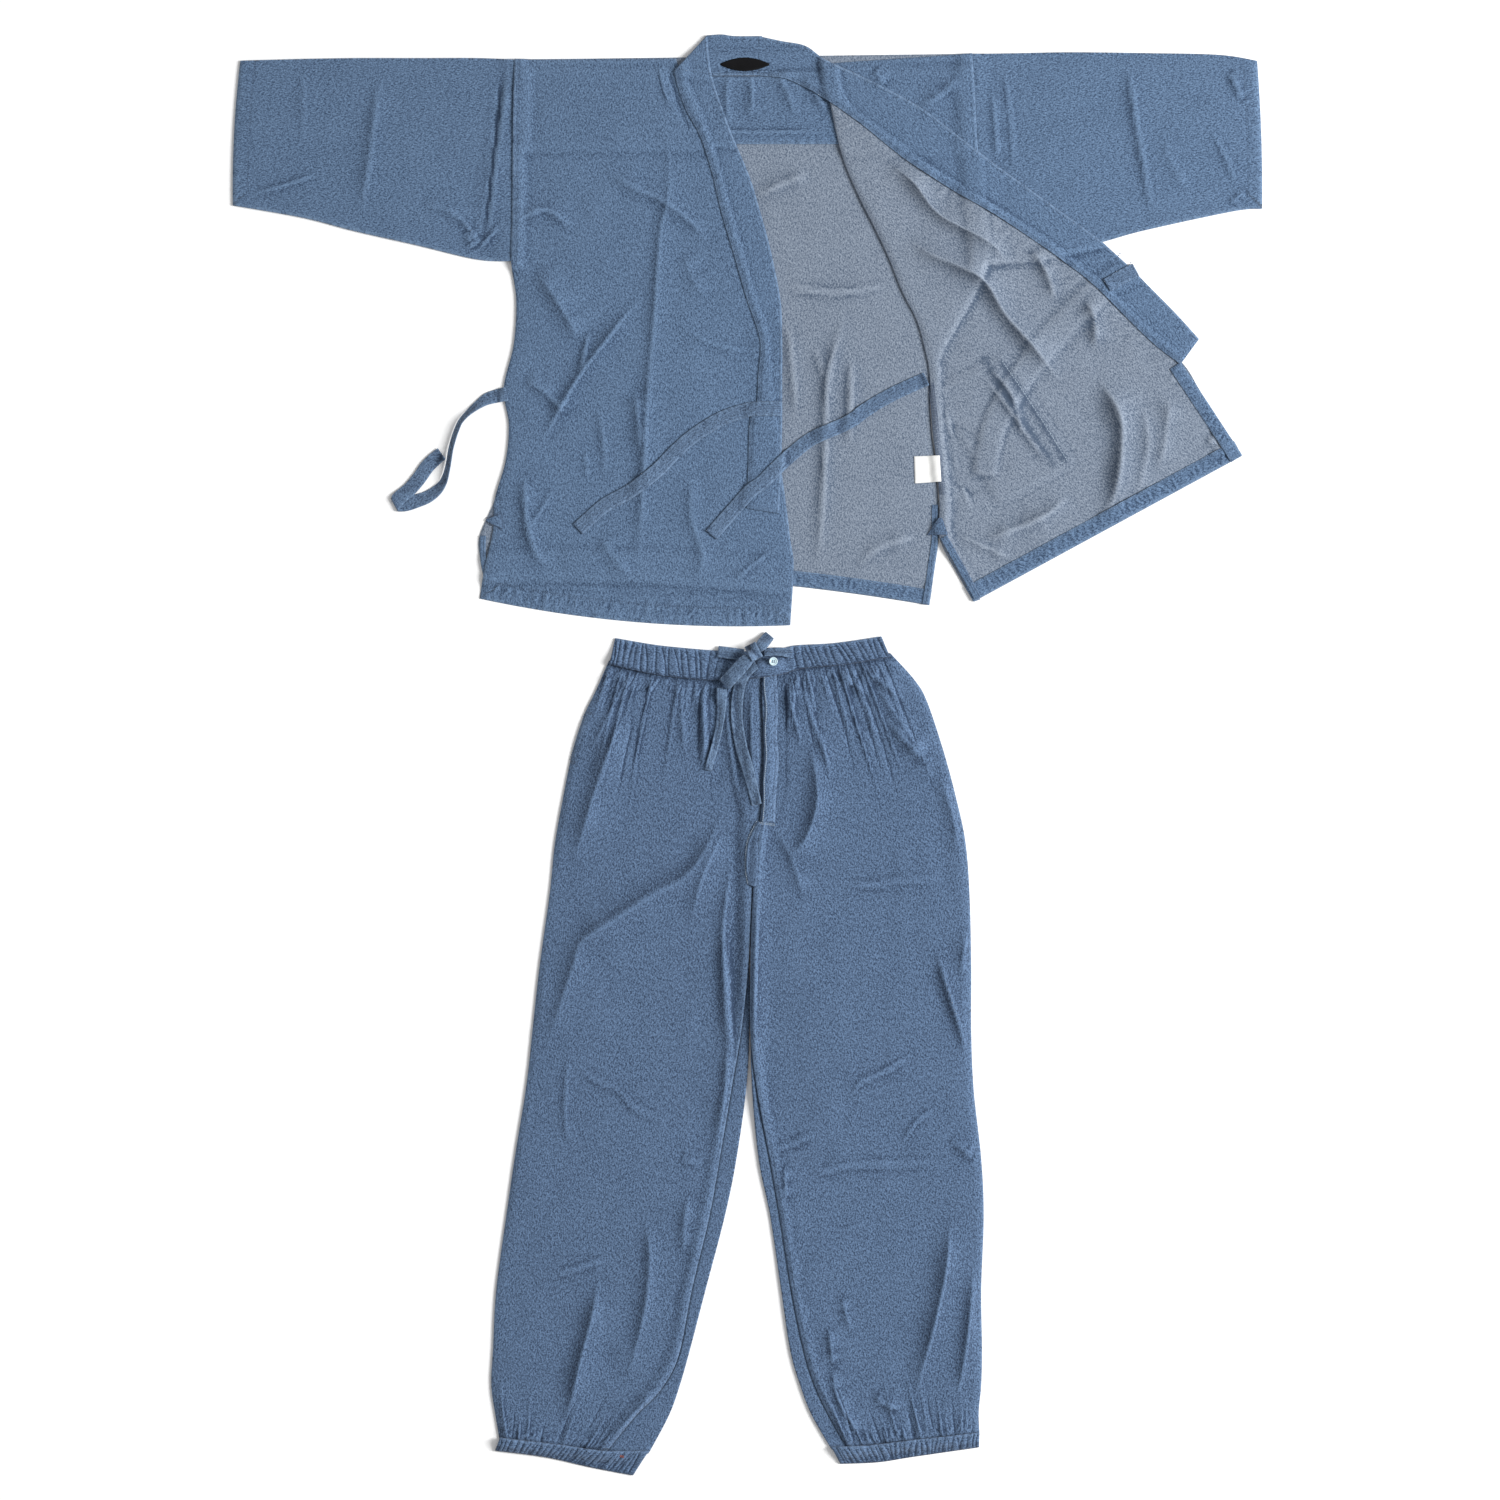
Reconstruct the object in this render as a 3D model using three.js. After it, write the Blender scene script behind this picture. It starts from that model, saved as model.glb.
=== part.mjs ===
// A samue: a wrap jacket and drawstring trousers, laid out flat on a table, jacket above trousers.
// Millimetres, +Z up from the table, +Y towards the collar. Every cloth piece is a thin wall, laid in order
// on what is already there, so that each one follows the pieces beneath it at a small clearance.
import * as THREE from "three";

// ---- driving sizes ----
const CLOTH = 1.1; // wall of one cloth layer
const BAND = 2.4; // collar: doubled cloth with its turnings
const CASING = 2.2; // waistband and cuff casings with the elastic in them
const TAPE = 1.2; // ties and drawstring, folded and stitched
const SEAM = 0.3; // clearance between sewn pieces, sideways and upwards
const TIE_WIDTH = 16;
const DRAWSTRING_WIDTH = 13;
const BUTTON = { radius: 5.5, height: 2.4, x: 31, y: 112, sides: 20 };
const KNOT = { x: 7, y: 122, length: 10, width: 7, height: 4.5, turn: -0.8 };
const TWIST_RISE = 9; // how high the upper edge of a tape stands where it lies twisted
const SQUARE = 25; // side of one square of the height index
const SAMPLES = 8; // height samples along each side of a cell
const EDGE_STEPS = 8; // steps between two sections where an edge is looked up
const MOST_INSET = 0.45; // share of a cell that the inside of a turn may take

const COLUMNS = {
  panel: ["px", "py", "qx", "qy", "bow"], // a section from p to q, bowed by bow at its middle
  route: ["x", "y", "width", "lean"], // a tape's centre, its width seen from above, how far one edge stands
  fold: ["x1", "y1", "x2", "y2", "rise", "reach"], // a soft ridge from 1 to 2
};
const rows = (kind, table) =>
  table.map((row) => Object.fromEntries(COLUMNS[kind].map((name, k) => [name, row[k] ?? 0])));

// ---- jacket: sections from the wearer's right edge (p) to the left edge (q), shoulder to hem ----
const BACK = rows("panel", [
  [-279, 834, 269, 841],
  [-280, 786, 272, 786],
  [-281, 722, 276, 722],
  [-282, 650, 281, 654],
  [-283, 592, 285, 596],
  [-277, 546, 255, 534],
  [-280, 493, 225, 474],
  [-292, 440, 219, 438],
  [-286, 396, 220, 392],
  [-290, 352, 225, 352],
  [-303, 306, 229, 300],
  [-321, 263, 229, 260],
  [-321, 239, 224, 222],
  [-317, 216, 218, 180, 14],
]);
const YOKE = rows("panel", [
  [-272, 814, 266, 814],
  [-273, 774, 268, 774],
  [-274, 733, 270, 733],
]);
const FRONT_RIGHT = rows("panel", [
  [-279, 834, -86, 835],
  [-280, 798, -79, 797],
  [-281, 740, -57, 740],
  [-282, 650, -32, 650],
  [-283, 592, -16, 596],
  [-277, 546, -2, 547],
  [-280, 493, 17, 502],
  [-292, 440, 25, 440],
  [-286, 396, 32, 392],
  [-290, 352, 40, 342],
  [-303, 306, 46, 300],
  [-305, 269, 51, 258],
  [-315, 224, 55, 227],
  [-321, 188, 51, 156, -12],
]);
// The left front is folded open: p is its armhole and side edge, q the fold where it turns over.
const FRONT_LEFT_UNDER = rows("panel", [
  [269, 841, 92, 829],
  [272, 798, 98, 786],
  [275, 738, 112, 722],
  [279, 684, 131, 674],
  [283, 636, 153, 630],
  [285, 599, 169, 596],
  [265, 551, 185, 556],
  [241, 510, 203, 520],
  [226, 479, 213, 484],
  [226, 456, 218, 456],
  [229, 392, 221, 392],
  [234, 352, 226, 352],
  [238, 300, 230, 300],
  [238, 262, 230, 260],
  [258, 222, 250, 220],
  [279, 187, 271, 184],
]);
// Past the fold it lies inside up: p is the fold, q the edge that the collar is sewn to.
const FRONT_LEFT_FLAP = rows("panel", [
  [92, 829, 104, 824],
  [98, 786, 116, 778],
  [112, 722, 159, 743],
  [131, 674, 213, 704],
  [153, 630, 269, 668],
  [169, 596, 321, 636],
  [185, 556, 369, 604],
  [203, 520, 411, 571],
  [213, 484, 445, 540],
  [218, 456, 473, 512],
  [221, 392, 520, 472],
  [226, 352, 541, 440],
  [230, 300, 557, 412],
  [230, 260, 569, 392],
  [250, 220, 581, 376],
  [271, 184, 593, 359],
]);
// Sleeves: sections from the top fold (p) to the underarm fold (q).
const SLEEVE_RIGHT = rows("panel", [
  [-608, 833, -617, 659, -3],
  [-537, 835, -532, 644],
  [-470, 836, -470, 628],
  [-395, 836, -395, 611],
  [-323, 836, -323, 594],
  [-279.4, 834, -283.4, 592],
]);
const SLEEVE_LEFT = rows("panel", [
  [269.4, 841, 286.4, 592],
  [327, 842, 351, 599],
  [387, 843, 421, 614],
  [476, 842, 476, 629],
  [565, 840, 583, 652],
  [611, 833, 617, 655, 2],
]);
// Collar: sections from the edge sewn to the body (p) to the free edge (q), out from the centre back.
const COLLAR_RIGHT_NECK = rows("panel", [
  [14.8, 815, 14.8, 862],
  [-15, 815, -15, 862],
  [-50, 815, -31, 864],
  [-88, 820, -49, 863],
]);
const COLLAR_RIGHT_FRONT = rows("panel", [
  [-88, 820, -49, 863],
  [-83, 800, -45, 824],
  [-74, 774, -38, 796],
  [-56, 740, -20, 746],
  [-42, 696, 1, 696],
  [-31, 650, 14, 654],
  [-15, 596, 27, 606],
  [-1, 547, 39, 545],
  [15, 498, 41, 498],
  [13, 456, 41, 456],
  [11, 422, 41, 422],
  [3, 402, 41, 402],
  [1, 348, 40, 348],
  [-1, 296, 37, 290],
]);
const COLLAR_LEFT = rows("panel", [
  [15.2, 815, 15.2, 862],
  [45, 811, 41, 856],
  [70, 800, 70, 850],
  [87, 790, 95, 832],
  [131, 760, 142, 810],
  [189, 714, 209, 774],
  [251, 674, 273, 725],
  [307, 641, 328, 685],
  [379, 592, 403, 631],
  [417, 562, 443, 599],
  [482, 498, 507, 536],
  [519, 469, 541, 499],
]);
const POCKET = rows("panel", [
  [236, 435, 305, 472],
  [305, 309, 383, 352],
]);
const NECK_LABEL = rows("panel", [
  [-32, 829, -32, 827],
  [-18, 834, -18, 822],
  [-3, 836, -3, 820],
  [12, 834, 12, 822],
  [26, 829, 26, 827],
]);
const CARE_LABEL = rows("panel", [
  [200, 358, 201, 326],
  [230, 359, 232, 328],
]);
const VENT_TACK_RIGHT = rows("panel", [
  [-314, 282, -311, 279],
  [-297, 289, -293, 271],
]);
const VENT_TACK_LEFT = rows("panel", [
  [229, 284, 233, 284],
  [216, 264, 240, 264],
]);

// Ties, by their centre lines.
const withWidth = (usual) => (table) =>
  rows("route", table.map(([x, y, width, lean]) => [x, y, width ?? usual, lean ?? 0]));
const tie = withWidth(TIE_WIDTH);
const string = withWidth(DRAWSTRING_WIDTH);
const TIE_COLLAR_RIGHT = tie([
  [40, 415], [11, 415], [-3, 413], [-32, 403], [-64, 383], [-86, 364], [-106, 343],
  [-123, 329], [-141, 316], [-170, 300], [-189, 284], [-203, 271],
]);
const TIE_INNER = tie([
  [214, 451], [189, 440], [163, 427], [142, 414], [123, 400], [99, 389], [75, 378], [51, 359],
  [31, 340], [17, 326], [3, 316], [-15, 296], [-31, 278], [-43, 264],
]);
const TIE_SIDE_OUT = tie([
  [-289, 433, 16, 0], [-310, 428, 14, 2], [-323, 420, 10, 6], [-335, 410, 7, TWIST_RISE],
  [-344, 400, 6, TWIST_RISE], [-349, 389, 6, TWIST_RISE], [-353, 377, 6, TWIST_RISE],
  [-356, 365, 6, TWIST_RISE], [-358, 352, 6, TWIST_RISE], [-361, 338, 7, TWIST_RISE],
  [-365, 327, 9, 7], [-372, 318, 12, 4], [-383, 310, 14, 2], [-396, 305, 15, 0], [-410, 301], [-424, 300],
]);
const TIE_SIDE_BACK = tie([
  [-424, 300], [-417, 309], [-405, 319], [-394, 332], [-385, 345], [-376, 354], [-367, 361],
]);
const TIE_COLLAR_LEFT_TAIL = tie([
  [285, 342], [297, 396], [327, 450], [375, 510], [429, 562], [466, 582],
]);
const TIE_COLLAR_LEFT_BAND = tie([
  [466, 582], [448, 573], [431, 563],
]);

// ---- trousers: sections from the side (p) to the centre front or inseam (q), waist to cuff ----
const LEG_RIGHT_FRONT = rows("panel", [
  [-166, 109, 17, 92],
  [-181, 78, 17, 66],
  [-195, 49, 19, 24],
  [-209, 6, 19, -18],
  [-221, -52, 17, -60],
  [-231, -109, 11, -100],
  [-237, -167, 5, -166],
  [-249, -253, 1, -246],
  [-257, -325, -7, -325],
  [-265, -397, -19, -397],
  [-279, -484, -34, -486],
  [-289, -553, -46, -553],
  [-301, -641, -67, -641],
  [-305, -714, -83, -720],
  [-307, -756, -105, -762],
  [-302, -792, -134, -792],
  [-297, -818, -170, -830],
]);
const LEG_LEFT_FRONT = rows("panel", [
  [171, 118, 17.6, 92],
  [200, 90, 17.6, 66],
  [215, 64, 19.6, 24],
  [235, 4, 19.6, -18],
  [250, -52, 17.6, -60],
  [261, -104, 12, -100],
  [266, -167, 7, -166],
  [268, -253, 4, -246],
  [268, -330, 3.6, -330],
  [271, -402, 11, -397],
  [280, -484, 27, -484],
  [283, -553, 39, -553],
  [280, -641, 53, -641],
  [281, -714, 68, -714],
  [280, -756, 81, -756],
  [277, -788, 98, -792],
  [278, -812, 121, -826],
]);
// Inner edge of each leg, a row for each section above, where the back panel turns up to the inseam.
const LEG_RIGHT_INNER = [
  [4, 92], [4, 66], [4, 24], [4, -18], [4, -60], [3, -100], [2.6, -166], [2.6, -246], [2.6, -325],
  [-1, -397], [-13, -484], [-27, -553], [-50, -641], [-69, -714], [-81, -756], [-94, -792], [-118, -833],
];
const LEG_LEFT_INNER = [
  [4.6, 92], [4.6, 66], [4.6, 24], [4.6, -18], [4.6, -60], [3.6, -100], [3.2, -166], [3.2, -246],
  [3.2, -325], [5, -397], [13, -484], [27, -553], [40, -641], [51, -714], [63, -756], [77, -792],
  [100, -828],
];
const CROTCH_ROW = 8; // the first section at which the back panel shows in front of the inner edge
const ALLOWANCE = 3; // turned edge of the back panel above the crotch

// Waistband and cuffs: sections from the top edge (p) to the seam or hem edge (q), side to side.
const WAISTBAND = rows("panel", [
  [-159, 140, -166, 109],
  [-112, 132, -112, 97],
  [-75, 128, -71, 92],
  [-38, 125, -43, 90],
  [-3, 124, -3, 91],
  [33, 125, 37, 96],
  [57, 131, 65, 104],
  [105, 134, 118, 109],
  [161, 142, 171, 118],
]);
const CUFF_RIGHT = rows("panel", [
  [-297, -818, -303, -834],
  [-230, -826, -242, -842],
  [-170, -834, -189, -854],
  [-118, -834, -137, -864],
]);
const CUFF_LEFT = rows("panel", [
  [278, -812, 278, -830],
  [196, -821, 196, -842],
  [147, -827, 157, -848],
  [100, -829, 111, -850],
]);
const FLY = rows("panel", [
  [20, 112, 34, 112],
  [21, 40, 36, 40],
  [20, -30, 36, -30],
  [17, -80, 33, -80],
]);
const FLAT_FRONT = { from: -34, to: 52 }; // stretch of the waistband with no elastic

// Drawstring, by its centre lines.
const STRAND_RIGHT = string([[-35, 124], [-20, 122], [-5, 120]]);
const STRAND_LEFT = string([[53, 122, 11], [36, 124, 9], [20, 123, 9]]);
const LOOP_UPPER_OUT = string([[15, 132], [21, 139], [27, 145]]);
const LOOP_UPPER_BACK = string([[27, 145], [22, 137], [17, 130]]);
const LOOP_LOWER_OUT = string([[-3, 112, 16], [-15, 99, 16], [-28, 85, 16]]);
const LOOP_LOWER_BACK = string([[-28, 85, 15], [-15, 98, 15], [-3, 110, 15]]);
const END_SHORT = string([
  [-31, 80, 11], [-31, 66, 11], [-32, 47, 9], [-35, 28, 8], [-40, 7, 7], [-44, -6, 7], [-47, -18, 7],
]);
const END_LONG = string([
  [10, 108, 10], [3, 104], [-3, 98], [-9, 85], [-12, 68], [-13, 48], [-11, 29], [-7, 8], [-1, -12],
  [5, -34], [11, -59],
]);

// ---- folds: soft ridges of the pieces that nothing else lies flat on ----
const FRONT_RIGHT_FOLDS = rows("fold", [
  [-190, 520, -262, 350, 5, 26],
  [-120, 520, -200, 440, 4, 24],
  [-111, 650, -111, 200, 2, 22],
  [-20, 250, -70, 190, 4, 22],
  [-240, 330, -285, 215, 4, 22],
]);
const FLAP_FOLDS = rows("fold", [
  [200, 500, 300, 220, 6, 24],
  [290, 560, 430, 330, 5, 26],
  [400, 540, 520, 380, 4, 24],
]);
const SLEEVE_RIGHT_FOLDS = rows("fold", [
  [-300, 815, -318, 610, 4, 16],
  [-462, 830, -462, 660, 3, 18],
]);
const SLEEVE_LEFT_FOLDS = rows("fold", [
  [452, 825, 486, 645, 3, 18],
  [560, 815, 575, 670, 3, 20],
]);
const LEG_FOLDS = rows("fold", [
  [-150, 60, -175, -260, 5, 22],
  [-60, 60, -90, -420, 5, 24],
  [-190, -300, -230, -760, 4, 26],
  [-90, -450, -150, -780, 4, 24],
  [90, 60, 110, -380, 5, 24],
  [190, 60, 215, -300, 5, 22],
  [120, -420, 170, -780, 4, 26],
  [220, -380, 240, -780, 4, 22],
]);
const WAIST_GATHER = { rise: 4, reach: 150 };
const CASING_GATHER = 1.4;

const mix = (a, b, t) => a + (b - a) * t;

function ridges(folds) {
  // Height that the soft ridges of a table add at a place; each one fades out at its ends.
  return (x, y) =>
    folds.reduce((sum, fold) => {
      const dx = fold.x2 - fold.x1;
      const dy = fold.y2 - fold.y1;
      const length = Math.hypot(dx, dy);
      const along = ((x - fold.x1) * dx + (y - fold.y1) * dy) / length;
      const off = ((x - fold.x1) * dy - (y - fold.y1) * dx) / length;
      const beyond = Math.max(0, -along, along - length);
      return sum + fold.rise * Math.exp(-(off * off + beyond * beyond) / (fold.reach * fold.reach));
    }, 0);
}

class Ground {
  // The height of everything laid so far, seen from above.
  constructor() {
    this.squares = new Map();
  }

  squaresOf(points) {
    const xs = points.map((p) => p.x);
    const ys = points.map((p) => p.y);
    const keys = [];
    for (let i = Math.floor(Math.min(...xs) / SQUARE); i <= Math.floor(Math.max(...xs) / SQUARE); i++)
      for (let j = Math.floor(Math.min(...ys) / SQUARE); j <= Math.floor(Math.max(...ys) / SQUARE); j++)
        keys.push(`${i},${j}`);
    return keys;
  }

  add(a, b, c) {
    for (const key of this.squaresOf([a, b, c])) {
      if (!this.squares.has(key)) this.squares.set(key, []);
      this.squares.get(key).push([a, b, c]);
    }
  }

  heightAt(x, y) {
    let height = 0;
    const key = `${Math.floor(x / SQUARE)},${Math.floor(y / SQUARE)}`;
    for (const [a, b, c] of this.squares.get(key) ?? []) {
      const area = (b.x - a.x) * (c.y - a.y) - (c.x - a.x) * (b.y - a.y);
      if (Math.abs(area) < 1e-6) continue;
      const u = ((x - a.x) * (c.y - a.y) - (c.x - a.x) * (y - a.y)) / area;
      const v = ((b.x - a.x) * (y - a.y) - (x - a.x) * (b.y - a.y)) / area;
      if (u < -1e-9 || v < -1e-9 || u + v > 1 + 1e-9) continue;
      height = Math.max(height, a.z + u * (b.z - a.z) + v * (c.z - a.z));
    }
    return height;
  }

  peakIn(a, b, c, d) {
    // The highest place under the quad a b c d.
    let peak = 0;
    for (let i = 0; i <= SAMPLES; i++)
      for (let j = 0; j <= SAMPLES; j++) {
        const s = i / SAMPLES;
        const t = j / SAMPLES;
        const x = mix(mix(a.x, b.x, s), mix(d.x, c.x, s), t);
        const y = mix(mix(a.y, b.y, s), mix(d.y, c.y, s), t);
        peak = Math.max(peak, this.heightAt(x, y));
      }
    for (const key of this.squaresOf([a, b, c, d]))
      for (const corner of (this.squares.get(key) ?? []).flat())
        if (corner.z > peak && inQuad(corner, [a, b, c, d])) peak = corner.z;
    return peak;
  }
}

function inQuad(p, quad) {
  const sides = quad.map((a, k) => {
    const b = quad[(k + 1) % quad.length];
    return (b.x - a.x) * (p.y - a.y) - (b.y - a.y) * (p.x - a.x);
  });
  return sides.every((side) => side >= 0) || sides.every((side) => side <= 0);
}

const ground = new Ground();

function section(row, t) {
  // A point of a section: straight from p to q, bowed at its middle across that line.
  const length = Math.hypot(row.qx - row.px, row.qy - row.py) || 1;
  const bow = 4 * t * (1 - t) * row.bow;
  return {
    x: mix(row.px, row.qx, t) - (bow * (row.qy - row.py)) / length,
    y: mix(row.py, row.qy, t) + (bow * (row.qx - row.px)) / length,
  };
}

function smooth(a, b, c, d, t) {
  // Catmull-Rom curve from b to c.
  const square = 2 * a - 5 * b + 4 * c - d;
  const cube = 3 * b - a - 3 * c + d;
  return 0.5 * (2 * b + (c - a) * t + square * t ** 2 + cube * t ** 3);
}

function between(table, k, t) {
  // The section at t between sections k and k + 1.
  const near = [k - 1, k, k + 1, k + 2].map((n) => table[Math.min(Math.max(n, 0), table.length - 1)]);
  const value = (name) => smooth(...near.map((row) => row[name]), t);
  return Object.fromEntries(COLUMNS.panel.map((name) => [name, value(name)]));
}

function sections(table, steps) {
  // The table's sections with steps - 1 more between each two.
  const count = (table.length - 1) * steps;
  const at = (n) => between(table, Math.floor(n / steps), (n % steps) / steps);
  return [...Array.from({ length: count }, (_, n) => at(n)), table.at(-1)];
}

function ruled(table, across, steps = 1) {
  // A grid of points: a line of across + 1 points for each section.
  const line = (row) => Array.from({ length: across + 1 }, (_, k) => section(row, k / across));
  return sections(table, steps).map(line);
}

const turned = (grid) => grid[0].map((_, j) => grid.map((line) => line[j]));
const reversed = (grid) => [...grid].reverse();

function heightOn(table, x, edge) {
  // The Y of a band's edge ("p" or "q") at x.
  const points = sections(table, EDGE_STEPS).map((row) => [row[`${edge}x`], row[`${edge}y`]]);
  points.sort((a, b) => a[0] - b[0]);
  const k = Math.max(0, Math.min(points.findIndex(([px]) => px >= x) - 1, points.length - 2));
  const [[ax, ay], [bx, by]] = x > points.at(-1)[0] ? points.slice(-2) : points.slice(k, k + 2);
  return mix(ay, by, (x - ax) / (bx - ax));
}

function quads(count, lines, closed) {
  // Index pairs of the cells of a grid, by line and place.
  const cells = [];
  for (let i = 0; i < (closed ? lines : lines - 1); i++)
    for (let j = 0; j < count - 1; j++) cells.push([i, (i + 1) % lines, j, j + 1]);
  return cells;
}

function lay(grid, { wall = CLOTH, rise = () => 0 } = {}) {
  // Lays a grid of points on what is there: the result holds the underside and the top of one leaf of cloth.
  const under = grid.map((line) => line.map(() => 0));
  for (const [i, n, j, m] of quads(grid[0].length, grid.length, false)) {
    const peak = ground.peakIn(grid[i][j], grid[n][j], grid[n][m], grid[i][m]);
    const seat = peak > 0 ? peak + SEAM : 0;
    for (const [a, b] of [[i, j], [n, j], [n, m], [i, m]]) under[a][b] = Math.max(under[a][b], seat);
  }
  const low = grid.map((line, i) =>
    line.map((p, j) => ({ ...p, z: under[i][j] + Math.max(0, rise(p.x, p.y, i, j)) })),
  );
  const high = low.map((line) => line.map((p) => ({ ...p, z: p.z + wall })));
  for (const [i, n, j, m] of quads(grid[0].length, grid.length, false)) {
    ground.add(high[i][j], high[n][j], high[n][m]);
    ground.add(high[i][j], high[n][m], high[i][m]);
  }
  return { low, high, wall };
}

function inset(line, next, distance) {
  // Moves a line of points in plan towards the next line, for the inside of a turn.
  return line.map((p, j) => {
    const dx = next[j].x - p.x;
    const dy = next[j].y - p.y;
    const share = Math.min(distance / Math.hypot(dx, dy), MOST_INSET);
    return { x: p.x + dx * share, y: p.y + dy * share, z: p.z };
  });
}

const meshes = new THREE.Group();

function finish(name, geometry, color, roughness = 0.9) {
  const material = new THREE.MeshStandardMaterial({ color, roughness, metalness: 0 });
  const mesh = new THREE.Mesh(geometry, material);
  mesh.name = name;
  meshes.add(mesh);
  return mesh;
}

function sheet(name, leaves, colour, closed = false) {
  // One piece of cloth: its leaves follow each other, each turned over the last along their shared fold.
  const outside = [];
  const inside = [];
  leaves.forEach(({ low, high, wall }, k) => {
    const [out, inner] = k % 2 === 0 ? [low, high] : [high, low];
    const lines = [...inner];
    if (k > 0 || closed) lines[0] = inset(inner[0], inner[1], wall);
    if (k < leaves.length - 1 || closed) lines[lines.length - 1] = inset(inner.at(-1), inner.at(-2), wall);
    outside.push(...out);
    inside.push(...lines);
  });
  const count = outside[0].length;
  const last = outside.length - 1;
  const at = (i, j, skin) => 2 * (i * count + j) + skin;
  const faces = [];
  for (const [i, n, j, m] of quads(count, outside.length, closed)) {
    faces.push([at(i, j, 0), at(n, j, 0), at(n, m, 0)], [at(i, j, 0), at(n, m, 0), at(i, m, 0)]);
    faces.push([at(i, j, 1), at(n, m, 1), at(n, j, 1)], [at(i, j, 1), at(i, m, 1), at(n, m, 1)]);
  }
  const wallBetween = (a, b) =>
    faces.push([at(...a, 0), at(...b, 0), at(...b, 1)], [at(...a, 0), at(...b, 1), at(...a, 1)]);
  for (let i = 0; i < (closed ? last + 1 : last); i++) {
    const n = (i + 1) % (last + 1);
    wallBetween([n, 0], [i, 0]);
    wallBetween([i, count - 1], [n, count - 1]);
  }
  if (!closed)
    for (let j = 0; j < count - 1; j++) {
      wallBetween([0, j], [0, j + 1]);
      wallBetween([last, j + 1], [last, j]);
    }
  const points = outside.flatMap((line, i) => line.flatMap((p, j) => [p, inside[i][j]]));
  return finish(name, solid(points, faces), colour);
}

function solid(points, faces) {
  // A closed mesh, its faces turned to face out.
  const plan = (a, b) => a.x * b.y - b.x * a.y;
  const volume = faces.reduce((sum, corners) => {
    const [p, q, r] = corners.map((k) => points[k]);
    return sum + plan(q, r) * p.z + plan(r, p) * q.z + plan(p, q) * r.z;
  }, 0);
  const outward = volume > 0 ? faces : faces.map(([a, b, c]) => [a, c, b]);
  const geometry = new THREE.BufferGeometry();
  const places = points.flatMap((p) => [p.x, p.y, p.z]);
  geometry.setAttribute("position", new THREE.Float32BufferAttribute(places, 3));
  geometry.setIndex(outward.flat());
  geometry.computeVertexNormals();
  return geometry;
}

function ribbon(route, back) {
  // A grid two points wide along a tape's centre line; one that runs back on another keeps that one's edges.
  const sides = back ? [-1, 1] : [1, -1];
  return route.map((row, k) => {
    const before = route[Math.max(0, k - 1)];
    const after = route[Math.min(route.length - 1, k + 1)];
    const dx = after.x - before.x;
    const dy = after.y - before.y;
    const length = Math.hypot(dx, dy);
    const aside = row.width / 2 / length;
    return sides.map((side) => ({ x: row.x - side * aside * dy, y: row.y + side * aside * dx }));
  });
}

const leanOf = (route) => (x, y, i, j) => (j === 0 ? route[i].lean : 0);
const layTape = (route) => lay(ribbon(route, false), { wall: TAPE, rise: leanOf(route) });
const layBack = (route) => lay(ribbon(route, true), { wall: TAPE });

const COLOUR = {
  outside: 0x58789e,
  inside: 0x8e9bac,
  tape: 0x5d7fa6,
  neckLabel: 0x17181b,
  careLabel: 0xf2f1ee,
  button: 0xc4dbe2,
};

// ---- jacket, from the table up ----
const back = lay(ruled(BACK, 12));
sheet("jacket_back", [back], COLOUR.outside);

function sleeve(name, table, folds) {
  const grid = turned(ruled(table, 6, 2));
  const under = lay(grid);
  const over = lay(reversed(grid), { rise: ridges(folds) });
  sheet(name, [under, over], COLOUR.outside, true);
}
sleeve("sleeve_right", SLEEVE_RIGHT, SLEEVE_RIGHT_FOLDS);
sleeve("sleeve_left", SLEEVE_LEFT, SLEEVE_LEFT_FOLDS);

sheet("jacket_yoke", [lay(ruled(YOKE, 6))], COLOUR.outside);
const frontRight = lay(ruled(FRONT_RIGHT, 8), { rise: ridges(FRONT_RIGHT_FOLDS) });
sheet("jacket_front_right", [frontRight], COLOUR.outside);

const frontLeftUnder = lay(turned(ruled(FRONT_LEFT_UNDER, 4)));
sheet("pocket_patch", [lay(ruled(POCKET, 2, 2))], COLOUR.outside);
const tieLeftTail = layTape(TIE_COLLAR_LEFT_TAIL);
const frontLeftFlap = lay(turned(ruled(FRONT_LEFT_FLAP, 8)), { rise: ridges(FLAP_FOLDS) });
sheet("jacket_front_left", [frontLeftUnder, frontLeftFlap], COLOUR.inside);

const collarNeck = lay(ruled(COLLAR_RIGHT_NECK, 2), { wall: BAND });
const collarLeft = lay(ruled(COLLAR_LEFT, 2, 2), { wall: BAND });
sheet("collar_left", [collarLeft], COLOUR.outside);
const collarFront = lay(ruled(COLLAR_RIGHT_FRONT, 2, 2), { wall: BAND });
sheet("collar_right", [collarNeck, collarFront], COLOUR.outside);
sheet("neck_label", [lay(ruled(NECK_LABEL, 1), { wall: CLOTH })], COLOUR.neckLabel);

sheet("tie_collar_left", [tieLeftTail, layBack(TIE_COLLAR_LEFT_BAND)], COLOUR.tape);
sheet("tie_collar_right", [layTape(TIE_COLLAR_RIGHT)], COLOUR.tape);
sheet("tie_inner", [layTape(TIE_INNER)], COLOUR.tape);
sheet("care_label", [lay(ruled(CARE_LABEL, 1))], COLOUR.careLabel);
sheet("vent_tack_right", [lay(ruled(VENT_TACK_RIGHT, 1))], COLOUR.outside);
sheet("vent_tack_left", [lay(ruled(VENT_TACK_LEFT, 1))], COLOUR.outside);
sheet("tie_side_right", [layTape(TIE_SIDE_OUT), layBack(TIE_SIDE_BACK)], COLOUR.tape);

// ---- trousers ----
const waistSeam = (x) => heightOn(WAISTBAND, x, "q") - SEAM;

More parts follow.
